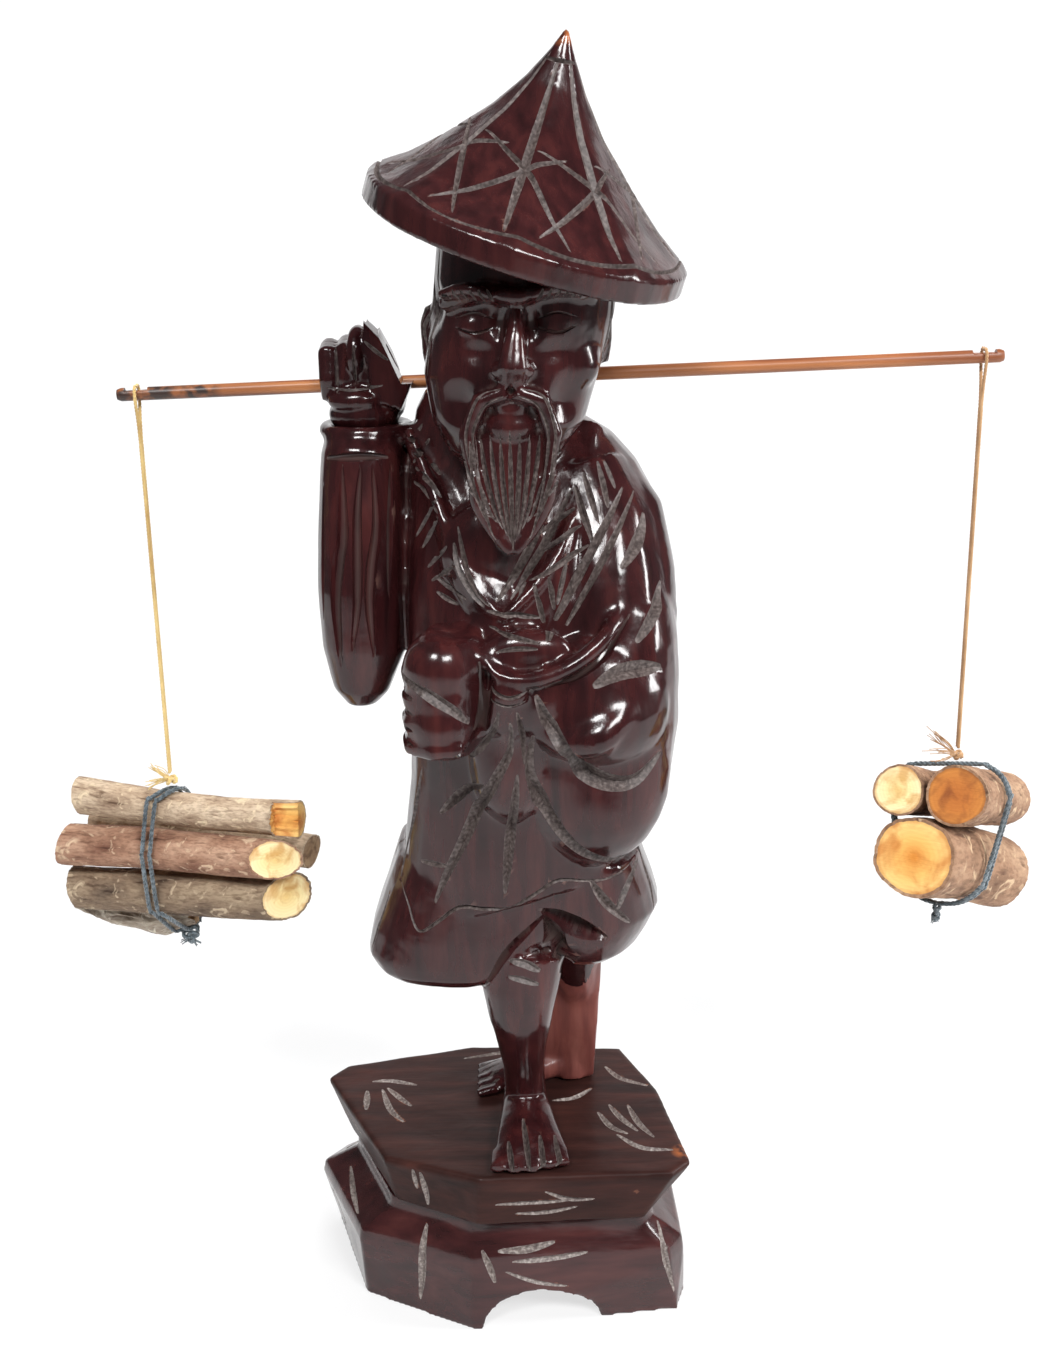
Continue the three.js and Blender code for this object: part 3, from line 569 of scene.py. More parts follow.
# Elastic ties
# Fabric-covered elastic cord, stretched twice round the twigs. Both ends meet in a tight knot
# under the bundle, where the cover has frayed.
elastic_cord = new_material("elastic_cord", roughness=0.7, sheen=0.5)
weave = spots(elastic_cord, 1300, detail=2)
wear = spots(elastic_cord, 120, detail=3)
worn_share = ramp(elastic_cord, wear, [(0.3, black), (0.7, white)])
fresh_cover = ramp(elastic_cord, weave, [(0.35, (0.018, 0.028, 0.034)), (0.65, (0.075, 0.10, 0.12))])
worn_cover = ramp(elastic_cord, weave, [(0.35, (0.05, 0.07, 0.08)), (0.65, (0.20, 0.25, 0.28))])
paint(elastic_cord, blended(elastic_cord, worn_share, fresh_cover, worn_cover))
emboss(elastic_cord, weave, 0.12)
cover_lay = (0.33, 0.27, 3.4)
tie_fold = 0.58
tie_fibres = 18
for side in sides:
    place = bundle_place(side)
    count = points_per_turn * elastic_turns
    loops = []
    for i in range(count + 1):
        angle = -math.pi / 2 + 2 * math.pi * i / points_per_turn
        front_share = (1 + math.cos(angle - math.pi)) / 2
        advance = elastic_pitch * (elastic_turns * i / count - elastic_turns / 2)
        x = advance - bundle_lean[side] * (front_share ** 2 - 0.25)
        loops.append((x, *wrap_point(side, x, angle)))
    bottom = wrap_point(side, 0, -math.pi / 2)
    knot_top = bottom[1] - elastic_radius - fit_gap
    route = [place @ point for point in smooth_route(
        [(loops[0][0], loops[0][1], knot_top), *loops, (loops[-1][0], loops[-1][1], knot_top)], 0.45)]
    tie = laid_cord(f"{side}_elastic", route, plies, *cover_lay, elastic_cord)
    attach(tie, side + "_bundle")
    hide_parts(side + "_elastic_tie")

    draw = random.Random(side + " tie")
    middle = Vector((0, bottom[0], knot_top - fit_gap - 1.2))
    folds = [(1.15 * (math.sin(t) + 2 * math.sin(2 * t)), 0.8 * math.sin(3 * t),
              math.cos(t) - 2 * math.cos(2 * t)) for t in np.linspace(0, 2 * math.pi, 26)]
    route = [place @ (middle + tie_fold * p) for p in smooth_route(folds, 0.6)]
    pieces = [laid_cord(f"{side}_elastic_knot", route, plies, *cover_lay, elastic_cord)]
    for i in range(tie_fibres):
        way = -1 if i % 2 else 1
        start = middle + Vector((0.6 * way, draw.uniform(-0.3, 0.3), -0.8))
        tip = middle + Vector((way * draw.uniform(0.8, 3.2), draw.uniform(-0.6, 0.6),
                               -draw.uniform(1.5, 2.7)))
        bent = (start + tip) / 2 + Vector([draw.uniform(-0.25, 0.25) for _ in range(3)])
        points = [place @ p for p in smooth_route([start, bent, tip], 0.5)]
        pieces.append(laid_cord("fibre", points, 1, 0.13, 0, 0, elastic_cord, around=6))
    knot = joined(pieces)
    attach(knot, side + "_bundle")
    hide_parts(side + "_tie_knot")

# Carrying pole
# A splint of bamboo, whittled round and stained orange. A shallow saddle cut in its top near each
# end keeps the string from sliding off.
pole_middle = Vector((15.9, 14, 225.5))
pole_slope = 1.6
pole_length = 206
notch_length = 5.5
notch_inset = 4.5
pole_sides = 40


def worn_place(material, place, reach):
    """A mask that is white round a place and black past its reach, both in millimetres."""
    nodes, links = material.node_tree.nodes, material.node_tree.links
    away = nodes.new("ShaderNodeVectorMath")
    away.operation = "DISTANCE"
    away.inputs[1].default_value = mm * Vector(place)
    links.new(nodes.new("ShaderNodeTexCoord").outputs["Object"], away.inputs[0])
    share = nodes.new("ShaderNodeMath")
    share.operation = "DIVIDE"
    share.inputs[1].default_value = reach * mm
    links.new(away.outputs["Value"], share.inputs[0])
    near = ramp(material, share.outputs["Value"], [(0.45, white), (1.0, black)])
    patches = ramp(material, spots(material, 330, detail=5), [(0.40, black), (0.56, white)])
    return blended(material, 1.0, near, patches, "MULTIPLY")


def pole_wood():
    material = new_material("pole_wood", roughness=0.45, coat=0.25, coat_roughness=0.3)
    fibres = spots(material, 420, detail=5, stretch=(0.03, 1, 1))
    cloud = spots(material, 26, detail=3, stretch=(0.6, 1, 1))
    tint = ramp(material, fibres, [(0.3, (0.10, 0.028, 0.012)), (0.48, (0.33, 0.105, 0.035)),
                                   (0.7, (0.56, 0.22, 0.075))])
    shade = ramp(material, cloud, [(0.35, (0.30, 0.20, 0.16)), (0.6, white)])
    tint = blended(material, 0.6, tint, shade, "MULTIPLY")
    for place, reach in (((-79, 14, 222.6), 9), ((-68, 14, 223.2), 6), ((-86, 14, 222.6), 4)):
        tint = blended(material, worn_place(material, place, reach), tint, (0.035, 0.018, 0.014))
    paint(material, tint)
    emboss(material, fibres, 0.08)
    return material


def whittled_pole():
    notch_at = pole_length / 2 - notch_inset
    stations = list(np.linspace(-pole_length / 2, pole_length / 2, 230))
    for way in (-1, 1):
        for edge in (-notch_length / 2, notch_length / 2):
            stations += [way * notch_at + edge - 0.02, way * notch_at + edge + 0.02]
    end_round = 0.35
    rings = []
    mesh = bmesh.new()
    place = Matrix.Translation(pole_middle) @ Matrix.Rotation(-math.radians(pole_slope), 4, "Y")
    for x in sorted(stations):
        from_end = pole_length / 2 - abs(x)
        radius = pole_radius - 0.03 - end_round * max(0, 1 - from_end / 0.6) ** 2
        in_notch = abs(abs(x) - notch_at) < notch_length / 2
        ring = []
        for angle in round_angles(pole_sides):
            facet = radius * (1 - 0.012 * (1 + math.cos(7 * angle + 0.05 * x)))
            z = facet * math.sin(angle)
            if in_notch:
                z = min(z, pole_radius - notch_depth - 0.03 * math.cos(9 * x))
            ring.append(mesh.verts.new(mm * (place @ Vector((x, facet * math.cos(angle), z)))))
        rings.append(ring)
    for long_face in skinned(mesh, rings):
        long_face.smooth = True
    capped(mesh, rings)
    stick = object_from("whittled_pole", mesh, pole_wood())
    stick.data.set_sharp_from_angle(angle=math.radians(40))
    return stick


pole = whittled_pole()
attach(pole, "pole")
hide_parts("carrying_pole")

# Plinth
# The lower tier of the base: a dark block with hewn corners and an arch sawn through its front and
# back. It is oiled, and old dust has settled in the chisel cuts.


def dusty_cut(name, low, middle, high):
    """The floor of a chisel cut: bare wood with old grey dust in it."""
    material = new_material(name, roughness=0.5)
    specks = spots(material, 1300, detail=5)
    paint(material, ramp(material, specks, [(0.34, low), (0.52, middle), (0.72, high)]))
    emboss(material, specks, 0.10)
    return material


def oiled_wood(name, dark, middle, glint, worn, dust, grain=(1, 1, 0.14), shine=(0.13, 0.28),
               gloss=0.45, bare=()):
    """Oiled dark hardwood: grain along one axis, rubbed edges, dust in the hollows. Places worn to
    bare wood are given with their reach, in millimetres."""
    material = new_material(name, roughness=0.3, coat=gloss / 3, coat_roughness=0.08)
    nodes = material.node_tree.nodes
    nodes["Principled BSDF"].inputs["Specular IOR Level"].default_value = gloss
    figure_in_wood = spots(material, 300, detail=8, stretch=grain, distortion=0.3)
    tint = ramp(material, figure_in_wood, [(0.22, dark), (0.52, middle), (0.86, glint)])
    cloud = spots(material, 38, detail=4)
    shade = ramp(material, cloud, [(0.36, (0.45, 0.42, 0.50)), (0.64, white)])
    tint = blended(material, 0.5, tint, shade, "MULTIPLY")
    edge = nodes.new("ShaderNodeNewGeometry").outputs["Pointiness"]
    rub = ramp(material, edge, [(0.55, black), (0.62, white)])
    rub_patches = ramp(material, spots(material, 60, detail=4), [(0.45, black), (0.62, white)])
    tint = blended(material, blended(material, 1.0, rub, rub_patches, "MULTIPLY"), tint, worn)
    for place, reach in bare:
        tint = blended(material, worn_place(material, place, reach), tint, (0.34, 0.10, 0.03))
    hollow = ramp(material, edge, [(0.40, (0.75, 0.75, 0.75)), (0.475, black)])
    paint(material, blended(material, hollow, tint, dust))
    roughen(material, cloud, *shine)
    tool_marks = spots(material, 130, detail=2, distortion=0.5)
    pores = spots(material, 1500, detail=2, stretch=grain)
    emboss(material, pores, 0.028, under=emboss(material, tool_marks, 0.2))
    return material


# The two blades' sections, as (across, down) in shares of a stroke's half width and depth.
gouge = [(1.35, -1.0), (1, 0), (0.6, 0.72), (0, 1), (-0.6, 0.72), (-1, 0), (-1.35, -1.0)]
knife = [(1.5, -1.0), (1, 0), (0, 1), (-1, 0), (-1.5, -1.0)]
blade_rise = 1.5
# The ways in which a stroke's route is thrown on the piece. None takes the nearest place instead.
front = (0, 1, 0)
back = (0, -1, 0)
top = (0, 0, -1)
from_left = (1, 0, 0)
from_right = (-1, 0, 0)


def cad_copy(node, name):
    """A copy of a CAD mesh, with the doubled corners of its flat shading merged."""
    data = frame["nodes"][node].data.copy()
    data.name = name
    mesh = bmesh.new()
    mesh.from_mesh(data)
    bmesh.ops.remove_doubles(mesh, verts=mesh.verts, dist=1e-6)
    mesh.to_mesh(data)
    mesh.free()
    data.materials.clear()
    return object_of(name, data)


def applied(piece, kind, **settings):
    """Adds a modifier and applies it."""
    modifier = piece.modifiers.new(kind, kind)
    for key, value in settings.items():
        setattr(modifier, key, value)
    bpy.ops.object.select_all(action="DESELECT")
    piece.select_set(True)
    bpy.context.view_layer.objects.active = piece
    bpy.ops.object.modifier_apply(modifier=modifier.name)


def surface_of(piece):
    data = piece.data
    return BVHTree.FromPolygons([v.co for v in data.vertices], [p.vertices for p in data.polygons])


def on_surface(tree, route, aim):
    """The places and directions outward where a route in millimetres meets the surface."""
    found = []
    for point in route:
        start = mm * Vector(point)
        if aim is None:
            place, way, _, _ = tree.find_nearest(start)
        else:
            place, way, _, _ = tree.ray_cast(start - 0.25 * Vector(aim), Vector(aim))
        if place is not None:
            found.append((place, way))
    return found


def cutter_rings(tree, route, width, depth, aim, profile, blunt):
    """Rings of a tapered cutter that follows a route along the surface."""
    found = on_surface(tree, smooth_route(route, 0.8), aim)
    count = len(found)
    if count < 3:
        return []

    def summed(part, i, reach):
        """A place (part 0) or a direction (part 1), added up with its neighbours on both sides."""
        return sum((found[min(max(i + k, 0), count - 1)][part] for k in range(-reach, reach + 1)), Vector())

    places = [summed(0, i, 1) / 3 for i in range(count)]
    rings = []
    for i, place in enumerate(places):
        out = summed(1, i, 3).normalized()
        along = (places[min(i + 1, count - 1)] - places[max(i - 1, 0)]).normalized()
        side = along.cross(out).normalized()
        share = math.sin(math.pi * (i + 0.4) / (count - 0.2)) ** blunt
        half = mm * width / 2 * (0.12 + 0.88 * share)
        sink = mm * (depth * share - 0.12 * (1 - share))
        ring = []
        for across, down in profile:
            drop = sink * down if down > 0 else mm * blade_rise * down
            ring.append(place + side * half * across - out * drop)
        rings.append(ring)
    return rings


def cut_away(piece, cutter):
    """Takes a solid out of the piece. The cut faces keep the solid's material slots."""
    applied(piece, "BOOLEAN", operation="DIFFERENCE", object=cutter, solver="MANIFOLD",
            material_mode="INDEX")
    bpy.data.meshes.remove(cutter.data)


def clear_of(line, half, others):
    """Whether a stroke's line keeps its half width away from all the others."""
    return all(np.linalg.norm(line[:, None] - other[None], axis=2).min() > half + other_half
               for other, other_half, _, _ in others)


def carve(piece, cuts):
    """Cuts strokes into a piece. Each cut is a dict with its route in millimetres, width, depth
    and aim. Cuts that cross each other are made one after the other."""
    tree = surface_of(piece)
    passes = []
    for cut in cuts:
        settings = dict(aim=front, profile=knife, blunt=0.7, dusty=True) | cut
        dusty = settings.pop("dusty")
        rings = cutter_rings(tree, **settings)
        if not rings:
            continue
        line = np.array([sum(ring, Vector()) / len(ring) for ring in rings])
        half = 0.85 * settings["width"] * mm
        for strokes in passes:
            if clear_of(line, half, strokes):
                strokes.append((line, half, rings, dusty))
                break
        else:
            passes.append([(line, half, rings, dusty)])
    for strokes in passes:
        mesh = bmesh.new()
        for _, _, rings, dusty in strokes:
            corners = [[mesh.verts.new(corner) for corner in ring] for ring in rings]
            for face in capped(mesh, corners) + skinned(mesh, corners):
                face.material_index = 1 if dusty else 0
        cut_away(piece, object_from("cutter", mesh, *piece.data.materials))


def places_of(piece):
    """The piece's corners as an array, in metres."""
    places = np.empty(len(piece.data.vertices) * 3)
    piece.data.vertices.foreach_get("co", places)
    return places.reshape(-1, 3)


def move_to(piece, places):
    piece.data.vertices.foreach_set("co", places.ravel())
    piece.data.update()


def hand_made(piece, depth, size, seed):
    """Moves the surface in by up to a depth in millimetres, in soft patches, as hand tools leave
    it. What stands on the floor stays flat."""
    places = places_of(piece)
    outward = np.empty(places.size)
    piece.data.vertices.foreach_get("normal", outward)
    shift = Vector((seed, 0, 0))
    waves = np.array([noise.noise(Vector(place) / (size * mm) + shift) for place in places])
    waves[places[:, 2] < 0.5 * mm] = -1
    move_to(piece, places - outward.reshape(-1, 3) * (mm * depth * (0.5 + 0.5 * waves))[:, None])


def away_from(piece, centre, reach):
    """How far each corner lies from a place, in shares of the reach along each axis."""
    return np.sqrt((((places_of(piece) - np.array(centre) * mm) / (np.array(reach) * mm)) ** 2).sum(axis=1))


def soften(piece, centre, reach, times):
    """Sands the surface round a place, in millimetres, until its forms flow together."""
    away = away_from(piece, centre, reach)
    group = piece.vertex_groups.new(name="sanded")
    for corner in np.flatnonzero(away < 1).tolist():
        group.add([corner], min(1, 2 * (1 - away[corner])), "REPLACE")
    applied(piece, "SMOOTH", factor=0.5, iterations=times, vertex_group=group.name)
    piece.vertex_groups.clear()


def finish_wood(piece):
    piece.data.validate()
    for face in piece.data.polygons:
        face.use_smooth = True
    piece.data.set_sharp_from_angle(angle=math.radians(32))


def remeshed(piece, voxel, passes):
    """Rebuilds the piece's surface in even cells, and smooths off the CAD mesh's facets."""
    applied(piece, "REMESH", mode="VOXEL", voxel_size=voxel * mm)
    applied(piece, "SMOOTH", factor=0.5, iterations=passes)


base_wood = oiled_wood("base_wood", (0.018, 0.006, 0.006), (0.048, 0.013, 0.013), (0.090, 0.026, 0.023),
                       (0.20, 0.08, 0.05), (0.15, 0.12, 0.105), grain=(0.14, 1, 1))
base_cut = dusty_cut("base_cut", (0.09, 0.065, 0.06), (0.20, 0.165, 0.15), (0.40, 0.36, 0.33))


def flat(points, height):
    return [(x, y, height) for x, y in points]


def upright_front(points):
    return [(x, 0, z) for x, z in points]


def aimed(lines):
    """Strokes from rows of route, width, depth and aim."""
    return [dict(route=route, width=width, depth=depth, aim=aim) for route, width, depth, aim in lines]


plinth = cad_copy("plinth", "hewn_plinth")
remeshed(plinth, 0.7, 3)
plinth.data.materials.append(base_wood)
plinth.data.materials.append(base_cut)
soften(plinth, (10, -29, 24.5), (34, 7, 6), 60)
soften(plinth, (-26, -26, 24.5), (14, 9, 6), 20)
hand_made(plinth, 0.35, 9, 2.0)
plinth_cuts = [
    ([(-2.4, 0, 20.2), (4.8, 0, 20.4), (12, 0, 21.8)], 2.0, 0.8, front),
    ([(1.0, 0, 17.6), (10.2, 0, 17.9), (20, 0, 19.0)], 1.6, 0.7, front),
    ([(-0.7, 0, 15.2), (7.1, 0, 11.8), (15, 0, 10.3)], 1.1, 0.5, front),
    ([(-6.1, 0, 20.8), (-4.3, 0, 16.8), (-2.9, 0, 12)], 1.7, 0.8, front),
    ([(-19.7, -24.8, 24), (-21.1, -27.2, 13.7), (-22.2, -27.3, 3)], 2.2, 0.8, None),
    ([(37, -24.2, 23.4), (38.6, -29.8, 17.2), (41.4, -28.4, 5)], 1.8, 0.7, None),
    ([(-41.6, 2.8, 22.1), (-40.2, -6, 20.6), (-38.1, -14.4, 19.2)], 1.8, 0.7, None),
    ([(-36, 12, 20), (-38.5, 8, 12), (-39, 6, 5)], 1.8, 0.7, None),
    ([(-12, 0, 19), (0, 0, 20.4), (11, 0, 19.6)], 1.8, 0.7, back),
    ([(-8, 0, 15.6), (4, 0, 13.2), (14, 0, 13.6)], 1.4, 0.6, back),
    ([(28, 16, 22), (34, 13, 14), (36, 12, 5)], 1.8, 0.8, None),
]
carve(plinth, aimed(plinth_cuts))
finish_wood(plinth)
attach(plinth, "figure")
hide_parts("plinth")

# Rock slab
# The upper tier is carved as a flat rock: gouge strokes run down its sides and round the feet.
slab_wood = oiled_wood("slab_wood", (0.016, 0.007, 0.006), (0.042, 0.016, 0.013), (0.082, 0.028, 0.021),
                       (0.20, 0.08, 0.05), (0.17, 0.14, 0.12), grain=(0.14, 1, 1), shine=(0.34, 0.55),
                       gloss=0.1, bare=[((43.5, -24.5, 42), 3.6), ((42.5, -24.5, 36), 3)])
slab = cad_copy("rock_slab", "carved_slab")
remeshed(slab, 0.6, 3)
slab.data.materials.append(slab_wood)
slab.data.materials.append(base_cut)
hand_made(slab, 0.3, 8, 5.0)
slab_top = 43
top_strokes = [
    [(-36.3, 5.1), (-35.9, 0), (-35.7, -4.3)],
    [(-32.4, 5.5), (-29.4, -4.5), (-25.5, -10.2)],
    [(-31.2, 6.1), (-27.6, 1.3), (-24.1, -2.9)],
    [(-35.6, 9.2), (-30.5, 9.4), (-23.2, 7.2)],
    [(23.2, -6.6), (26.3, -13.4), (30.5, -16.8)],
    [(26.2, -3.2), (29, -9.6), (33, -15.7)],
    [(31, -3.4), (33.3, -11.9), (36.8, -18.6)],
    [(27.4, -16.7), (33.1, -22.7), (41.2, -24)],
    [(11.6, -1.1), (17.4, -0.1), (22.4, 4.5)],
    [(-12, 20), (2, 23.4), (14, 23)],
    [(26, 15), (30, 9), (37, 5)],
]
front_strokes = [
    [(-2.7, 34.8), (6.8, 35.1), (15.8, 35.5)],
    [(2, 31.7), (9.2, 31.8), (17.6, 33.4)],
    [(9.3, 38.6), (15.2, 35.9), (21.7, 35.6)],
]
side_strokes = [
    ([(-20.6, -28.9, 41.2), (-19.6, -27.4, 35), (-19.1, -26.2, 29.8)], 1.7, 0.7, None),
    ([(-22.4, -28.3, 41.5), (-22, -27.2, 38), (-21.6, -26.3, 34.5)], 1.3, 0.6, None),
    ([(-10, 0, 36), (2, 0, 35.2), (13, 0, 36.4)], 1.4, 0.6, back),
    ([(-60, 8, 37), (-60, 2, 36), (-60, -5, 36)], 1.5, 0.6, from_left),
    ([(40, 4, 38), (41.5, -4, 36.5), (42, -12, 37)], 1.5, 0.6, None),
]
slab_cuts = [dict(route=flat(points, slab_top), aim=top, width=1.7, depth=0.75) for points in top_strokes]
slab_cuts += [dict(route=upright_front(points), width=1.3, depth=0.6) for points in front_strokes]
slab_cuts += aimed(side_strokes)
carve(slab, slab_cuts)
finish_wood(slab)
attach(slab, "figure")
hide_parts("rock_slab")

# Carved figure
# Body, head and legs are carved from one dark block. Knife and gouge lines draw the folds of the
# robe, its collar and belt, the strands of beard and hair, the toes and the fingers.
soles = 43.3
hat_tip = (17.8, -12.5, 298.4)
figure_wood = oiled_wood("figure_wood", (0.012, 0.0035, 0.004), (0.037, 0.0085, 0.009),
                         (0.078, 0.018, 0.016), (0.11, 0.055, 0.045), (0.13, 0.10, 0.09),
                         shine=(0.11, 0.25), bare=[(hat_tip, 4.5)])
bare_leg_wood = oiled_wood("bare_leg_wood", (0.10, 0.028, 0.025), (0.23, 0.066, 0.052), (0.36, 0.125, 0.095),
                           (0.30, 0.10, 0.06), (0.16, 0.13, 0.12), shine=(0.35, 0.5))
figure_cut = dusty_cut("figure_cut", (0.035, 0.023, 0.021), (0.085, 0.064, 0.059), (0.17, 0.14, 0.13))


def press(piece, centre, reach, push):
    """Pushes the surface round a place by a vector, all in millimetres, fading out at the reach."""
    share = np.clip(1 - away_from(piece, centre, reach), 0, 1)
    share = share * share * (3 - 2 * share)
    move_to(piece, places_of(piece) + share[:, None] * np.array(push) * mm)


def lump(centre, size):
    """An egg of wood left standing, its place and half sizes in millimetres."""
    mesh = bmesh.new()
    bmesh.ops.create_icosphere(mesh, subdivisions=3, radius=1.0)
    place = Matrix.Translation(Vector(centre) * mm) @ Matrix.Diagonal([*(Vector(size) * mm), 1])
    bmesh.ops.transform(mesh, matrix=place, verts=mesh.verts)
    return object_from("lump", mesh)


def ridge(stations):
    """A rounded ridge through stations of (x, y, z, radius), in millimetres."""
    middle = smooth_route([s[:3] for s in stations], 1.2)
    steps = np.linspace(0, len(stations) - 1, len(middle))
    widths = np.interp(steps, range(len(stations)), [s[3] for s in stations]).tolist()
    mesh = bmesh.new()
    rings = []
    for (place, side, up), radius in zip(carried_frames(middle), widths):
        rings.append([mesh.verts.new(mm * (place + radius * (side * math.cos(a) + up * math.sin(a))))
                      for a in round_angles(12)])
    skinned(mesh, rings)
    capped(mesh, rings)
    return object_from("ridge", mesh)


def block(corners):
    """A flat-sided block of wood on the given corners, in millimetres."""
    mesh = bmesh.new()
    for corner in corners:
        mesh.verts.new(mm * Vector(corner))
    bmesh.ops.convex_hull(mesh, input=mesh.verts)
    return object_from("block", mesh)


face_middle = 5.6
eye_height = soles + 197
eye_places = [face_middle + 0.6 + 8.6 * way for way in (-1, 1)]
woodcutter = cad_copy("carved_figure", "carved_woodcutter")
additions = []
for way, eye_x in zip((-1, 1), eye_places):
    brow = [(3.4, -29.8, 203.2, 1.2), (9, -28.4, 204.8, 1.7), (15, -24.4, 203.4, 1.2)]
    additions += [
        lump((eye_x, -22.6, eye_height), (4.0, 3.6, 3.1)),
        lump((face_middle - 0.2 + 2.9 * way, -28.8, soles + 188.3), (1.9, 2.2, 1.8)),
        lump((face_middle + 11 * way + 1, -17.8, soles + 188.5), (6.6, 6.2, 6.4)),
        ridge([(face_middle + x * way, y, soles + z, radius) for x, y, z, radius in brow]),
    ]
additions += [
    lump((5, -27.2, soles + 180.2), (3.6, 2.2, 1.5)),
    lump((4.6, -26.2, soles + 176.4), (5.4, 3.4, 3.6)),
    lump((5.2, -30.6, soles + 189.6), (2.6, 2.4, 2.2)),
]
beard_edge = [(8.2, -28.6, 167, 1.7), (7.0, -28.3, 160, 1.9), (3.8, -28.2, 153.5, 1.5),
              (0.6, -28.2, 149.5, 0.9)]
for way in (-1, 1):
    additions.append(ridge([(4.8 + way * x, y, soles + z, radius) for x, y, z, radius in beard_edge]))
# The robe's two collar edges, the bent arm's sleeve edge, the sash's end and the sagging fold.
robe_ridges = [
    [(-18.3, -4, 216.3, 1.3), (-12, -13, 201.8, 1.7), (-6, -22, 187.3, 1.7), (1.5, -27.2, 178.8, 1.2)],
    [(23, -2, 214.3, 1.3), (19, -13.5, 200.3, 1.8), (12, -22.5, 187.3, 1.8), (2, -27.8, 177.8, 1.2)],
    [(-2.5, -32.4, 172.5, 1.2), (0.5, -35, 168.2, 1.9), (8, -35.4, 166.8, 2.1), (17, -33.2, 169.4, 2.1),
     (24.5, -28.6, 174.6, 1.9), (30, -20, 183, 1.6), (33, -10, 191, 1.2)],
    [(3.2, -35.2, 161.6, 1.2), (3.6, -33, 154, 1.6), (1.2, -29, 146, 1.6), (-3, -24.8, 136, 1.1)],
    [(9, -28.2, 154, 3), (15, -31, 152.2, 4.4), (21, -32, 153.4, 4.8), (28, -30, 158.5, 4),
     (33, -26, 163, 2.5)],
]
shoulder = [(20, 0, 205, 11), (24.5, -6, 193, 12.5), (26, -12.5, 180, 12.5), (25, -15, 167, 13)]
cuff = [(-29 + 9.3 * math.cos(a), 10.5 + 10.2 * math.sin(a), 214.5, 1.9)
        for a in np.linspace(0, 2 * math.pi, 25)]
additions += [ridge(stations) for stations in robe_ridges]
additions.append(lump((1, -16.5, 190), (13, 6.4, 13)))
additions.append(ridge(shoulder))
# The fist in two halves, the sleeve's bag in two, the belly, and the sash's knot and its roll.
robe_lumps = [
    ((-11.4, -30.0, 168.6), (8.6, 8.8, 8.6)),
    ((-11.2, -30.0, 156.4), (8.4, 8.6, 8.2)),
    ((22, -22, 157), (17.5, 12.5, 18)),
    ((22, -20, 141), (18, 11.5, 24)),
    ((3, -25, 146.5), (9, 7.4, 17)),
    ((3.2, -35.4, 163.2), (4.4, 2.4, 2.5)),
    ((7, -29.8, 171.5), (10.5, 4.4, 5.6)),
]
additions += [lump(centre, size) for centre, size in robe_lumps]
far_leg = [(8, 9, 44), (8, 15, 44), (23, 8, 44), (23, 19, 44),
           (10, 5, 92), (10, 13, 92), (26, 5, 92), (26, 13, 92)]
additions += [ridge(cuff), block(far_leg)]
joined([woodcutter, *additions])
remeshed(woodcutter, 0.6, 5)
for way, eye_x in zip((-1, 1), eye_places):
    press(woodcutter, (eye_x, -27, eye_height - 5.5), (6, 5, 3.4), (0, 1.3, 0))
    press(woodcutter, (eye_x - 5.5 * way, -27, eye_height + 0.5), (3.4, 6, 4.5), (0, 2.0, 0))
    press(woodcutter, (face_middle + 11 * way, -24, soles + 181), (5, 6, 6), (-0.8 * way, 1.6, 0))
    press(woodcutter, (face_middle + 17 * way, -15, soles + 200), (5, 7, 7), (-1.6 * way, 0.6, 0))
press(woodcutter, (25, -34, 153.5), (16, 14, 11), (0, -2.4, -0.6))
press(woodcutter, (24, -30, 131), (14, 12, 12), (0, -1.4, 0))
press(woodcutter, (-8, -30, 181), (12, 12, 8), (0, 2.5, -4))
applied(woodcutter, "SMOOTH", factor=0.5, iterations=3)
# Fist, belly, skirt below it, the sleeve's fold, shoulder and bag.
sanded_places = [
    ((-9, -31, 168), (18, 13, 18), 80),
    ((1, -31, 142), (16, 10, 19), 50),
    ((-2, -30, 121), (17, 11, 15), 60),
    ((20, -34, 156), (15, 9, 13), 14),
    ((31, -12, 186), (17, 22, 26), 60),
    ((25, -26, 132), (18, 14, 22), 30),
]
for centre, reach, times in sanded_places:
    soften(woodcutter, centre, reach, times)
for way in (-1, 1):
    soften(woodcutter, (face_middle + 13 * way, -16, soles + 188), (9, 12, 12), 20)
hand_made(woodcutter, 0.3, 7, 11.0)
applied(woodcutter, "DECIMATE", ratio=0.34)
for material in (figure_wood, figure_cut, bare_leg_wood):
    woodcutter.data.materials.append(material)
for face in woodcutter.data.polygons:
    if face.center.x > 4 * mm and face.center.y > 3 * mm and face.center.z < 92 * mm:
        face.material_index = 2

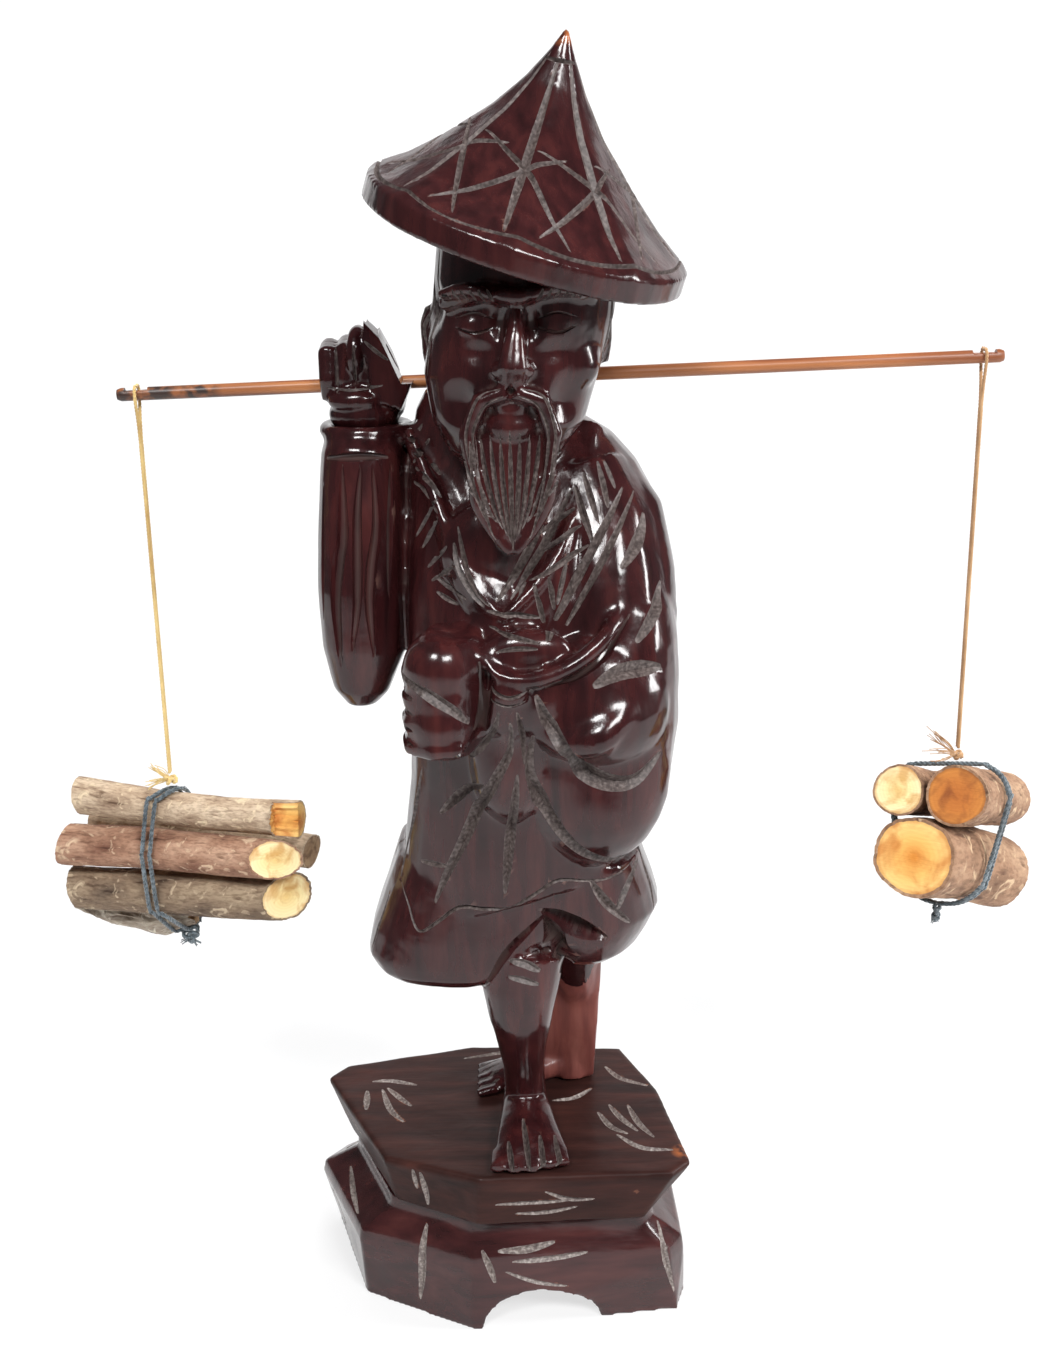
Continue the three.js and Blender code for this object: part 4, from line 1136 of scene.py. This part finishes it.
# Strokes on the front, as (x, z) points thrown back on the figure, with their width and depth.
chest_lines = [
    ([(-8.2, 194), (-7.2, 188.5), (-4.3, 183.2), (-1.5, 180.3)], 2.0, 1.0),
    ([(-7.2, 197.5), (-5.6, 189.1), (-2.8, 182.8), (-0.2, 180.5)], 1.3, 0.8),
    ([(14.9, 205.7), (9.3, 194.5), (4.9, 186.7), (0.6, 181)], 2.1, 1.0),
    ([(18, 204.1), (12.5, 194.5), (8.1, 187.9), (3.8, 181.3)], 1.8, 0.9),
    ([(29.2, 203.9), (23.1, 193.5), (17.6, 183.9), (12.1, 174.4)], 2.2, 1.0),
    ([(31.8, 202.8), (25.8, 192.3), (20.2, 182.8), (15.3, 174.5)], 1.7, 0.9),
    ([(18.7, 200.2), (14.7, 197.8), (10.4, 195.2)], 1.5, 0.8),
    ([(20, 196.6), (15.1, 194), (10.3, 191.2)], 1.6, 0.8),
    ([(21.5, 192.6), (14.5, 188.8), (7.8, 185.7)], 1.6, 0.8),
    ([(9.1, 185.8), (10.4, 180), (11.9, 174.1)], 1.4, 0.8),
    ([(12.3, 187), (13, 182.9), (13.5, 179.1)], 1.4, 0.8),
    ([(16.4, 189.6), (15.2, 184.8), (14.1, 180.1)], 1.4, 0.8),
    ([(7.6, 185.7), (6.2, 183.5), (5.1, 181.8)], 1.0, 0.6),
    ([(18.3, 205), (20.3, 198.6), (22.3, 192.6)], 1.7, 0.8),
    ([(20.3, 207.4), (22, 201.9), (23.5, 197)], 1.5, 0.7),
    ([(23.6, 209.5), (24.8, 204.6), (25.7, 199.7)], 1.5, 0.7),
    ([(25, 209.4), (26.3, 206.4), (27.5, 203.4)], 1.2, 0.6),
    ([(-15.3, 217), (-16.8, 214.4), (-18.4, 211.7)], 1.2, 0.6),
    ([(-13.6, 214.1), (-15.3, 211.7), (-17.7, 208.3)], 1.3, 0.6),
    ([(-17.3, 207.7), (-13.7, 206), (-10.7, 202.2)], 1.5, 0.7),
    ([(-17.9, 204.2), (-14.9, 203.2), (-11.5, 199.2)], 1.4, 0.7),
    ([(-11.5, 198.8), (-13.6, 194.3), (-15.8, 190.4)], 1.4, 0.7),
    ([(-11.9, 202.4), (-14.9, 196.6), (-17.4, 192.3)], 1.3, 0.6),
    ([(-14.9, 210.5), (-13, 208.7), (-11.1, 206.4)], 1.2, 0.6),
    ([(-9.6, 193), (-12, 189.6), (-14.6, 186.6)], 1.3, 0.6),
    ([(-8.2, 188.8), (-11, 186.2), (-13.8, 184)], 1.3, 0.6),
    ([(-12.7, 185.2), (-9.5, 183.6), (-5.4, 181.5)], 1.4, 0.7),
    ([(-12.6, 182.2), (-10, 181), (-7.3, 179.8)], 1.2, 0.6),
    ([(-1.5, 179.8), (3.8, 179.2), (10.6, 178)], 1.5, 0.7),
    ([(-1, 176.5), (4.8, 175.5), (10.5, 174.2)], 1.4, 0.7),
    ([(0.4, 172.4), (5.2, 173.3), (10, 173.2)], 1.2, 0.6),
]
belt_lines = [
    ([(-1.0, 165.2), (3.2, 163.4), (7.6, 164.6)], 1.0, 0.7),
    ([(-0.6, 162.9), (3.2, 161.4), (7.2, 162.5)], 0.8, 0.6),
    ([(1.2, 160.2), (-0.2, 155), (-3.6, 149.5), (-9.3, 144.4)], 1.7, 0.9),
    ([(5.0, 160), (6.2, 153), (6.4, 146)], 1.4, 0.9),
    ([(9, 163.3), (11.8, 156.6), (17.2, 147.7), (22.2, 142.6), (30.2, 141.2), (37, 146.6)], 4.4, 2.3),
    ([(8.4, 153.5), (7.6, 144.6), (10.5, 135.4), (15.3, 127.5), (20.3, 122.6), (26.7, 119.8),
      (33, 121.5)], 3.6, 2.0),
]
skirt_lines = [
    ([(3.6, 157.5), (3.4, 150.1), (-0.2, 142.3), (-3.4, 135.4), (-7.3, 126.2), (-12.1, 115.7),
      (-15.2, 107.8)], 3.0, 1.6),
    ([(-2.4, 141.1), (-8.1, 136.3), (-13.4, 130.2)], 2.4, 1.2),
    ([(4.9, 144.2), (4.0, 135.9), (2.6, 123.9), (1.3, 111.5)], 2.6, 1.4),
    ([(-18.5, 117.4), (-15, 117.6), (-11.5, 117.8)], 1.5, 0.6),
    ([(-23.6, 111.1), (-21.7, 106.7), (-19.2, 100.8), (-14.7, 103.5), (-9.2, 107.8), (-3.2, 108), (2.4, 108),
      (8, 111.2), (12.8, 114.3), (16.5, 114.4), (21.6, 113.1), (26.8, 113.2), (32.4, 114.7)], 1.1, 0.8),
    ([(-17.2, 140.3), (-19.4, 128.9), (-22.4, 116.3), (-23.6, 111.1)], 1.6, 0.9),
    ([(-20.6, 150), (-21.6, 138), (-24.6, 122), (-27.4, 108)], 1.4, 0.8),
    ([(20.9, 113.8), (24.5, 107.7), (30.9, 100.1)], 2.4, 1.2),
    ([(33, 114.1), (29.5, 108.9), (27, 103.6)], 2.0, 1.0),
    ([(1.6, 93.8), (5.6, 93.2), (9.4, 90.8)], 2.4, 0.8),
    ([(1.4, 89.7), (5.2, 89), (9.1, 87.3)], 1.8, 0.7),
]
skirt_hollows = [
    ([(9.6, 106.4), (14, 103.4), (18.6, 100.6), (25.4, 97.2)], 6.0, 4.5),
    ([(10.4, 106), (12.4, 99), (14.6, 92), (16.4, 85)], 5.0, 4.0),
    ([(-5, 84), (1, 95.2), (6, 100.7), (11.6, 106)], 2.4, 1.8),
]
raised_sleeve_lines = [
    ([(-37.6, 209.4), (-34.5, 209.9), (-30.2, 210.2), (-26.2, 210.1), (-23, 209.6)], 2.2, 1.4),
]
sleeve_hollows = [
    ([(-33.6, 208.7), (-33.8, 193.8), (-35.0, 187), (-36.1, 177.5), (-35.7, 161.3)], 3.4, 1.6),
    ([(-29.2, 208.7), (-30.3, 197.5), (-31, 178.5), (-32.9, 165.8)], 2.6, 1.3),
    ([(-26.6, 208.6), (-26, 195.4), (-27.6, 185.3), (-28.3, 175.7), (-27.8, 164.4)], 2.8, 1.4),
    ([(-22.8, 208.6), (-23.3, 194), (-24.1, 178)], 2.0, 1.0),
    ([(-38.4, 204), (-38.9, 190), (-39.6, 172)], 1.8, 0.8),
]
rim_shadow = [
    ([(-2.9, 171), (-2.3, 165), (-2.8, 158), (-5.4, 152.6), (-11, 148.2)], 2.4, 1.8),
    ([(11, 164.4), (18, 166.4), (25, 171.4), (30, 178.6)], 1.8, 1.2),
]
sleeve_folds = [
    ([(34.4, -12, 198.5), (31.6, -16, 192.6), (27.6, -20, 186.6)], 3.2, 1.3),
    ([(38.6, -16, 183.8), (36.2, -22, 179.2), (33.6, -25.5, 175.4), (31, -27.4, 172.4)], 3.2, 1.3),
    ([(21.4, -31, 163.6), (26.2, -30, 166), (31.6, -29, 167), (37.2, -25.6, 166.4)], 3.9, 1.4),
    ([(41.5, -8, 172), (42.6, -7, 160), (42.8, -6, 146), (41, -5, 130)], 2.2, 1.0),
    ([(43, 4, 166), (43.4, 5, 152), (42.6, 5, 138)], 1.8, 0.9),
]
fist_lines = [
    ([(-20, -31, 168.2), (-15.6, -36, 165.6), (-9.9, -38, 161.9), (-4.4, -36, 157.3)], 2.8, 1.0),
]
finger_gaps = [[(-21, -26, z), (-20.2, -30.5, z - 0.4), (-17.4, -35, z - 1.0)]
               for z in (163.6, 160, 156.4, 152.8, 149.6)]
# The robe's back and sides don't show in the photo: folds, a belt and a hem, as on its front.
back_lines = [
    ([(-12, 205), (-4, 190), (2, 170), (4, 148), (3, 128)], 2.4, 1.1),
    ([(18, 208), (24, 196), (27, 178), (25, 160)], 2.2, 1.0),
    ([(30, 200), (33, 186), (34, 168)], 1.8, 0.9),
    ([(-16, 196), (-12, 176), (-11, 156), (-14, 136)], 2.1, 1.0),
    ([(12, 190), (14, 172), (13, 152), (16, 132)], 2.0, 0.9),
    ([(-20, 163), (-8, 160), (6, 159.5), (20, 161), (34, 164)], 2.2, 1.1),
    ([(-20, 158), (-8, 155.4), (6, 155), (20, 156), (34, 158)], 1.6, 0.9),
    ([(-24, 116), (-12, 111), (0, 109.5), (12, 112), (24, 113.5), (33, 115)], 1.4, 0.9),
    ([(-14, 150), (-17, 136), (-20, 122)], 1.8, 0.9),
    ([(0, 150), (-2, 136), (-4, 120)], 1.8, 0.9),
    ([(22, 150), (26, 136), (27, 120)], 1.8, 0.9),
    ([(-20, 106), (-22, 98), (-23, 90)], 1.6, 0.8),
    ([(-4, 107), (-5, 98), (-8, 89)], 1.6, 0.8),
    ([(24, 108), (27, 100), (29, 92)], 1.6, 0.8),
]
side_lines = [
    ([(-30, -6, 150), (-31, -4, 132), (-33, -2, 112)], 1.8, 0.9, from_left),
    ([(-30, 6, 146), (-31, 8, 128), (-33, 10, 108)], 1.8, 0.9, from_left),
    ([(-30, -10, 106), (-34, -12, 98), (-36, -12, 92)], 1.6, 0.8, from_left),
    ([(-42, 6, 204), (-42, 5, 188), (-42, 3, 168)], 2.0, 0.9, from_left),
    ([(-42, 12, 200), (-42, 10, 184), (-42, 8, 170)], 1.8, 0.8, from_left),
    ([(45, 2, 196), (45, 6, 176), (45, 8, 150)], 2.2, 1.0, from_right),
    ([(45, 12, 192), (45, 16, 170), (45, 17, 146)], 1.8, 0.9, from_right),
    ([(45, -12, 150), (45, -14, 138), (45, -12, 128)], 1.8, 0.9, from_right),
    ([(45, 6, 118), (45, 7, 108), (45, 6, 98)], 1.8, 0.9, from_right),
    ([(45, -6, 116), (45, -7, 107), (45, -8, 99)], 1.8, 0.9, from_right),
]
beard_strands = []
for k in range(-5, 6):
    low = 193.6 + 1.5 * abs(k)
    narrow = 0.3 + 0.11 * abs(k)
    beard_strands.append([(4.6 + 2.1 * k, 219.5 - 0.5 * abs(k)), (4.6 + 1.75 * k, 210), (4.7 + 1.15 * k, 202),
                          (4.8 + narrow * k, low)])
whiskers = []
for way in (-1, 1):
    for apart, low in ((0, 203), (1.3, 199), (2.6, 196)):
        whiskers.append([(5 + way * (10.2 - apart), 216 + apart), (4.8 + way * (9.3 - apart), 208),
                         (4.7 + way * (6.8 - 0.9 * apart), low + 2), (4.7 + way * (5.6 - 0.9 * apart), low)])
    for apart in (-0.8, 0.7):
        whiskers.append([(5 + way * (1.6 + apart * 0.3), 227.4 + apart),
                         (5 + way * (6 + apart), 225.6 + apart),
                         (4.8 + way * (8.6 + apart), 219), (4.8 + way * (8.0 + apart), 211.6)])
lids = []
for eye_x in eye_places:
    for reach, edge, bow, size in ((4.2, -0.2, -1.5, (0.9, 0.6)), (4.4, 1.4, 2.7, (0.7, 0.4))):
        lids.append(([(eye_x - reach, eye_height + edge), (eye_x, eye_height + bow),
                      (eye_x + reach, eye_height + edge)], *size))
brow_hairs = []
for way in (-1, 1):
    for k in range(7):
        x = face_middle + 0.6 + way * (4.2 + 1.75 * k)
        brow_hairs.append([(x, 245.2 + 0.1 * k), (x + 0.9 * way, 246.6), (x + 1.6 * way, 248.2)])
hair_strands = []
hair_count = 30
for k in range(hair_count + 1):
    turn = math.radians(-22 + 224 * k / hair_count)
    sweep = 0.10 * math.sin(2.1 * k)
    route = []
    for height, bend in ((256, 0), (248, sweep), (238, -sweep), (229 + 2 * (k % 3), sweep)):
        at = turn + bend
        route.append((8 + 24 * math.cos(at), -7 + 24 * math.sin(at), height))
    hair_strands.append((route, 1.5, 0.7, (-math.cos(turn), -math.sin(turn), 0)))
ear_curl = [(-7.4, 239.6), (-4.2, 242.4), (-2.2, 238.6), (-3.2, 233.4), (-5.8, 231.6)]
ear_hollows = [([(x, y, z) for y, z in ear_curl], 1.2, 0.9, aim)
               for x, aim in ((-14, from_left), (26.4, from_right))]
toe_gaps = [
    [(0.8, -26.3, 48), (1.4, -30.8, 46.7), (2.1, -35.2, 44.0)],
    [(4.4, -20.4, 50.4), (5.2, -27.5, 48.2), (6.1, -35.4, 44.0)],
    [(8.5, -25.2, 48.8), (8.9, -29.6, 47.2), (9.4, -34.8, 44.0)],
    [(12.1, -24.4, 48.2), (12.7, -29, 46.8), (13.5, -34, 44.0)],
]
back_toe_gaps = [[(-1.6, y, 47.4), (-5, y - 0.7, 46.4), (-8.6, y - 1.4, 44.2)]
                 for y in (3.4, 6.7, 9.9, 12.9)]


def upright(lines, **settings):
    """Strokes thrown on the front, or on the back, from rows of points, width and depth."""
    return [dict(route=upright_front(points), width=width, depth=depth) | settings
            for points, width, depth in lines]


def alike(routes, width, depth, **settings):
    """Strokes of one width and depth."""
    return [dict(route=route, width=width, depth=depth) | settings for route in routes]


figure_cuts = [
    *upright(chest_lines + belt_lines + skirt_lines),
    *upright(sleeve_hollows + rim_shadow + raised_sleeve_lines + lids, profile=gouge, dusty=False),
    *upright(skirt_hollows, blunt=1.0, dusty=False),
    *alike(map(upright_front, beard_strands), 1.15, 0.8),
    *alike(map(upright_front, whiskers), 0.8, 0.5),
    *alike(map(upright_front, brow_hairs), 0.7, 0.4),
    *aimed(hair_strands + ear_hollows + side_lines),
    *alike(toe_gaps, 1.5, 1.2, aim=None),
    *alike(back_toe_gaps, 1.1, 0.9, aim=None),
    *alike(finger_gaps, 1.7, 1.3, aim=None, dusty=False),
    *upright(back_lines, aim=back),
    *aimed([(*line, None) for line in sleeve_folds + fist_lines]),
]
carve(woodcutter, figure_cuts)
finish_wood(woodcutter)
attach(woodcutter, "figure")
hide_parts("carved_figure")

# Raised hand
# The closed hand is a piece of its own, pegged into the sleeve. Its fingers fold over the pole.
raised_hand = cad_copy("raised_hand", "carved_raised_hand")
hand_heel = [(-28.6, 5, 239.5), (-17, 6, 227), (-20.5, 4.2, 219), (-27, 3.6, 222),
             (-28, 11.2, 239.7), (-16.6, 12, 227.6), (-20.5, 11.5, 218.5), (-27, 11, 221)]
joined([
    raised_hand,
    block(hand_heel),
    lump((-30.5, 6.8, 221.5), (7.0, 4.6, 3.4)),
    lump((-29.3, 10, 218), (8.4, 7.4, 5.5)),
    ridge([(-30.6, 9, 226, 2.2), (-30.6, 5.6, 231, 2.2), (-30.2, 7.5, 235.6, 2.1), (-30, 12, 236.4, 1.8)]),
])
raised_hand.data.materials.append(figure_wood)
raised_hand.data.materials.append(figure_cut)
remeshed(raised_hand, 0.45, 5)
slope_corners = ((-27.0, 240.5), (-20.2, 225.2), (-8, 225.2), (-8, 248), (-27, 248))
slope = block([(x, y, z) for y in (-5, 30) for x, z in slope_corners])
slope.data.materials.append(figure_wood)
cut_away(raised_hand, slope)
applied(raised_hand, "SMOOTH", factor=0.5, iterations=1)
hand_made(raised_hand, 0.2, 5, 3.0)
knuckle_lines = [
    ([(-35.0, 5, 233.4), (-34.9, 4, 228), (-34.8, 6, 223)], 0.9, 0.6, front),
    ([(-30.6, 5, 234.4), (-30.6, 4, 229), (-30.6, 6, 224)], 0.9, 0.6, front),
    ([(-37.5, 5, 224.4), (-31, 3, 224.0), (-24, 3, 225)], 1.0, 0.5, front),
    ([(-28.4, 4, 235), (-24, 4, 231.2), (-19, 5, 228)], 1.0, 0.5, front),
    ([(-35.5, 24, 233), (-35.4, 24, 226), (-34, 24, 219)], 1.2, 0.6, back),
    ([(-30.6, 24, 234), (-30.6, 24, 227), (-30, 24, 219)], 1.2, 0.6, back),
    ([(-25.8, 24, 234), (-25.8, 24, 227), (-26.6, 24, 219)], 1.2, 0.6, back),
]
carve(raised_hand, aimed(knuckle_lines))
finish_wood(raised_hand)
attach(raised_hand, "figure")
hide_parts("raised_hand")

# Hat
# A pointed hat with eight ribs that cross at a ring half way up. Its tip is worn to bare wood.
hat = cad_copy("hat", "carved_hat")
remeshed(hat, 0.6, 3)
hand_made(hat, 0.3, 8, 8.0)
hat.data.materials.append(figure_wood)
hat.data.materials.append(figure_cut)
hat_seat = (Matrix.Translation((8.4, -6, soles + 214.2))
            @ Matrix.Rotation(math.radians(9), 4, "X") @ Matrix.Rotation(math.radians(18), 4, "Y"))
hat_peak = 42.6
hat_rise = 2.6
peak_lean = -4
hat_down = tuple(hat_seat.to_3x3() @ Vector((0, 0, -1)))


def on_hat(radius, angle, height):
    """A place above the hat, by its distance from the axis and its angle in degrees."""
    lean = peak_lean * (height - hat_rise) / (hat_peak - hat_rise)
    turn = math.radians(angle)
    return tuple(hat_seat @ Vector((radius * math.cos(turn) + lean, radius * math.sin(turn), height)))


# Ribs and the two slanting strokes that cross each one, as (radius, angle from the rib, height).
rib_stroke = [(radius, 0, 40 - radius) for radius in (2.6, 5, 9, 14, 20, 27, 33)]
left_slant = [(32, -33, 7), (25, -19, 12), (20, 0, 16), (15.8, 28, 20)]
right_slant = [(32.4, 25, 7), (25, 14, 12), (20, 0, 16), (16.4, -42, 20)]
ribs = 8
hat_lines = []
for rib in range(ribs):
    at = 360 / ribs * rib - 10
    for stroke, width, depth in ((rib_stroke, 2.0, 0.8), (left_slant, 1.5, 0.7), (right_slant, 1.4, 0.7)):
        route = [on_hat(radius, at + angle, height) for radius, angle, height in stroke]
        hat_lines.append((route, width, depth, hat_down))
rim_turns = 3
for third in range(rim_turns):
    start = 360 / rim_turns * third
    angles = np.linspace(start - 8, start + 360 / rim_turns + 8, 16)
    hat_lines.append(([on_hat(33.6, angle, 6) for angle in angles], 1.2, 0.8, hat_down))
hat_lines.append(([on_hat(3.4, angle, 38) for angle in range(-160, 0, 20)], 1.0, 0.6, hat_down))
carve(hat, aimed(hat_lines))
finish_wood(hat)
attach(hat, "figure")
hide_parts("hat")

# Setting and light
# A white sheet runs under the object and up behind it, with a lamp of its own. Towards its
# front edge the sheet is painted shade: it turns dark grey and its glow fades out. A soft window
# stands high in front on the right and a skylight on the left. A window on the far right catches
# the edges.
scene = bpy.context.scene
scene.view_settings.view_transform = "Standard"
world = bpy.data.worlds.new("room")
scene.world = world
world.use_nodes = True
room_light = world.node_tree.nodes["Background"]
room_light.inputs["Color"].default_value = colour_of(0.93, 0.95, 1)
room_light.inputs["Strength"].default_value = 0.09


def white_sheet():
    half_width, front_edge, back_edge, bend, height = 0.85, -0.7, 0.9, 0.35, 0.85
    dim_edge, bright_edge = -0.55, -0.15
    sheet_glow = 0.68
    rows = [(front_edge, 0.0)]
    for turn in np.linspace(0, math.pi / 2, 16):
        rows.append((back_edge - bend + bend * math.sin(turn), bend - bend * math.cos(turn)))
    rows.append((back_edge, height))
    corners = [(x, float(y), float(z)) for y, z in rows for x in (-half_width, half_width)]
    faces = [(2 * i, 2 * i + 1, 2 * i + 3, 2 * i + 2) for i in range(len(rows) - 1)]
    data = bpy.data.meshes.new("white_sheet")
    data.from_pydata(corners, [], faces)
    for face in data.polygons:
        face.use_smooth = True
    material = new_material("white_paper", roughness=0.9)
    nodes, links = material.node_tree.nodes, material.node_tree.links
    # Painted shade: from the bright edge towards the front edge, the paper is painted dark grey so that the
    # varnish mirrors less of the floor in front.
    across = nodes.new("ShaderNodeSeparateXYZ")
    links.new(nodes.new("ShaderNodeTexCoord").outputs["Object"], across.inputs["Vector"])
    unshaded_share = nodes.new("ShaderNodeMapRange")
    unshaded_share.inputs["From Min"].default_value = dim_edge
    unshaded_share.inputs["From Max"].default_value = bright_edge
    links.new(across.outputs["Y"], unshaded_share.inputs["Value"])
    paint(material, blended(material, unshaded_share.outputs["Result"], (0.2, 0.2, 0.2), (0.88, 0.88, 0.885)))
    lit = nodes.new("ShaderNodeEmission")
    lit.inputs["Color"].default_value = colour_of(*white)
    mix = nodes.new("ShaderNodeMixShader")
    path = nodes.new("ShaderNodeLightPath")

    def reckoned(operation, first, second):
        """A socket with two values combined. The second is a socket or a number."""
        node = nodes.new("ShaderNodeMath")
        node.operation = operation
        links.new(first, node.inputs[0])
        if isinstance(second, float):
            node.inputs[1].default_value = second
        else:
            links.new(second, node.inputs[1])
        return node.outputs["Value"]

    seen = reckoned("MAXIMUM", path.outputs["Is Camera Ray"], path.outputs["Is Glossy Ray"])
    seen = reckoned("MAXIMUM", seen, path.outputs["Is Transmission Ray"])
    # The same painted shade also fades the sheet's glow towards its front edge.
    glow = reckoned("MULTIPLY", unshaded_share.outputs["Result"], sheet_glow)
    links.new(reckoned("MULTIPLY", seen, glow), mix.inputs["Fac"])
    links.new(nodes["Principled BSDF"].outputs["BSDF"], mix.inputs[1])
    links.new(lit.outputs["Emission"], mix.inputs[2])
    links.new(mix.outputs["Shader"], nodes["Material Output"].inputs["Surface"])
    return object_of("white_sheet", data, material)


white_sheet()


def lamp(name, place, target, size, watts, mirrored=True):
    """A soft rectangular light. One that isn't mirrored gives no highlight on the varnish."""
    data = bpy.data.lights.new(name, "AREA")
    data.shape = "RECTANGLE"
    data.size, data.size_y = size
    data.energy = watts
    lamp_object = bpy.data.objects.new(name, data)
    scene.collection.objects.link(lamp_object)
    away = Vector(target) - Vector(place)
    lamp_object.matrix_world = Matrix.Translation(place) @ away.to_track_quat("-Z", "Y").to_matrix().to_4x4()
    lamp_object.visible_glossy = mirrored


lamp("high_window", (0.46, -0.75, 0.85), (0, 0, 0.14), (0.42, 0.24), 9)
lamp("left_skylight", (-0.24, -0.66, 0.9), (0, 0, 0.15), (0.3, 0.2), 6.5)
lamp("right_window", (0.95, -0.05, 0.45), (0, 0, 0.15), (0.14, 0.55), 6.5)
lamp("sheet_light", (0, 0.35, 1.1), (0, 0.5, 0), (1.2, 0.5), 10, mirrored=False)
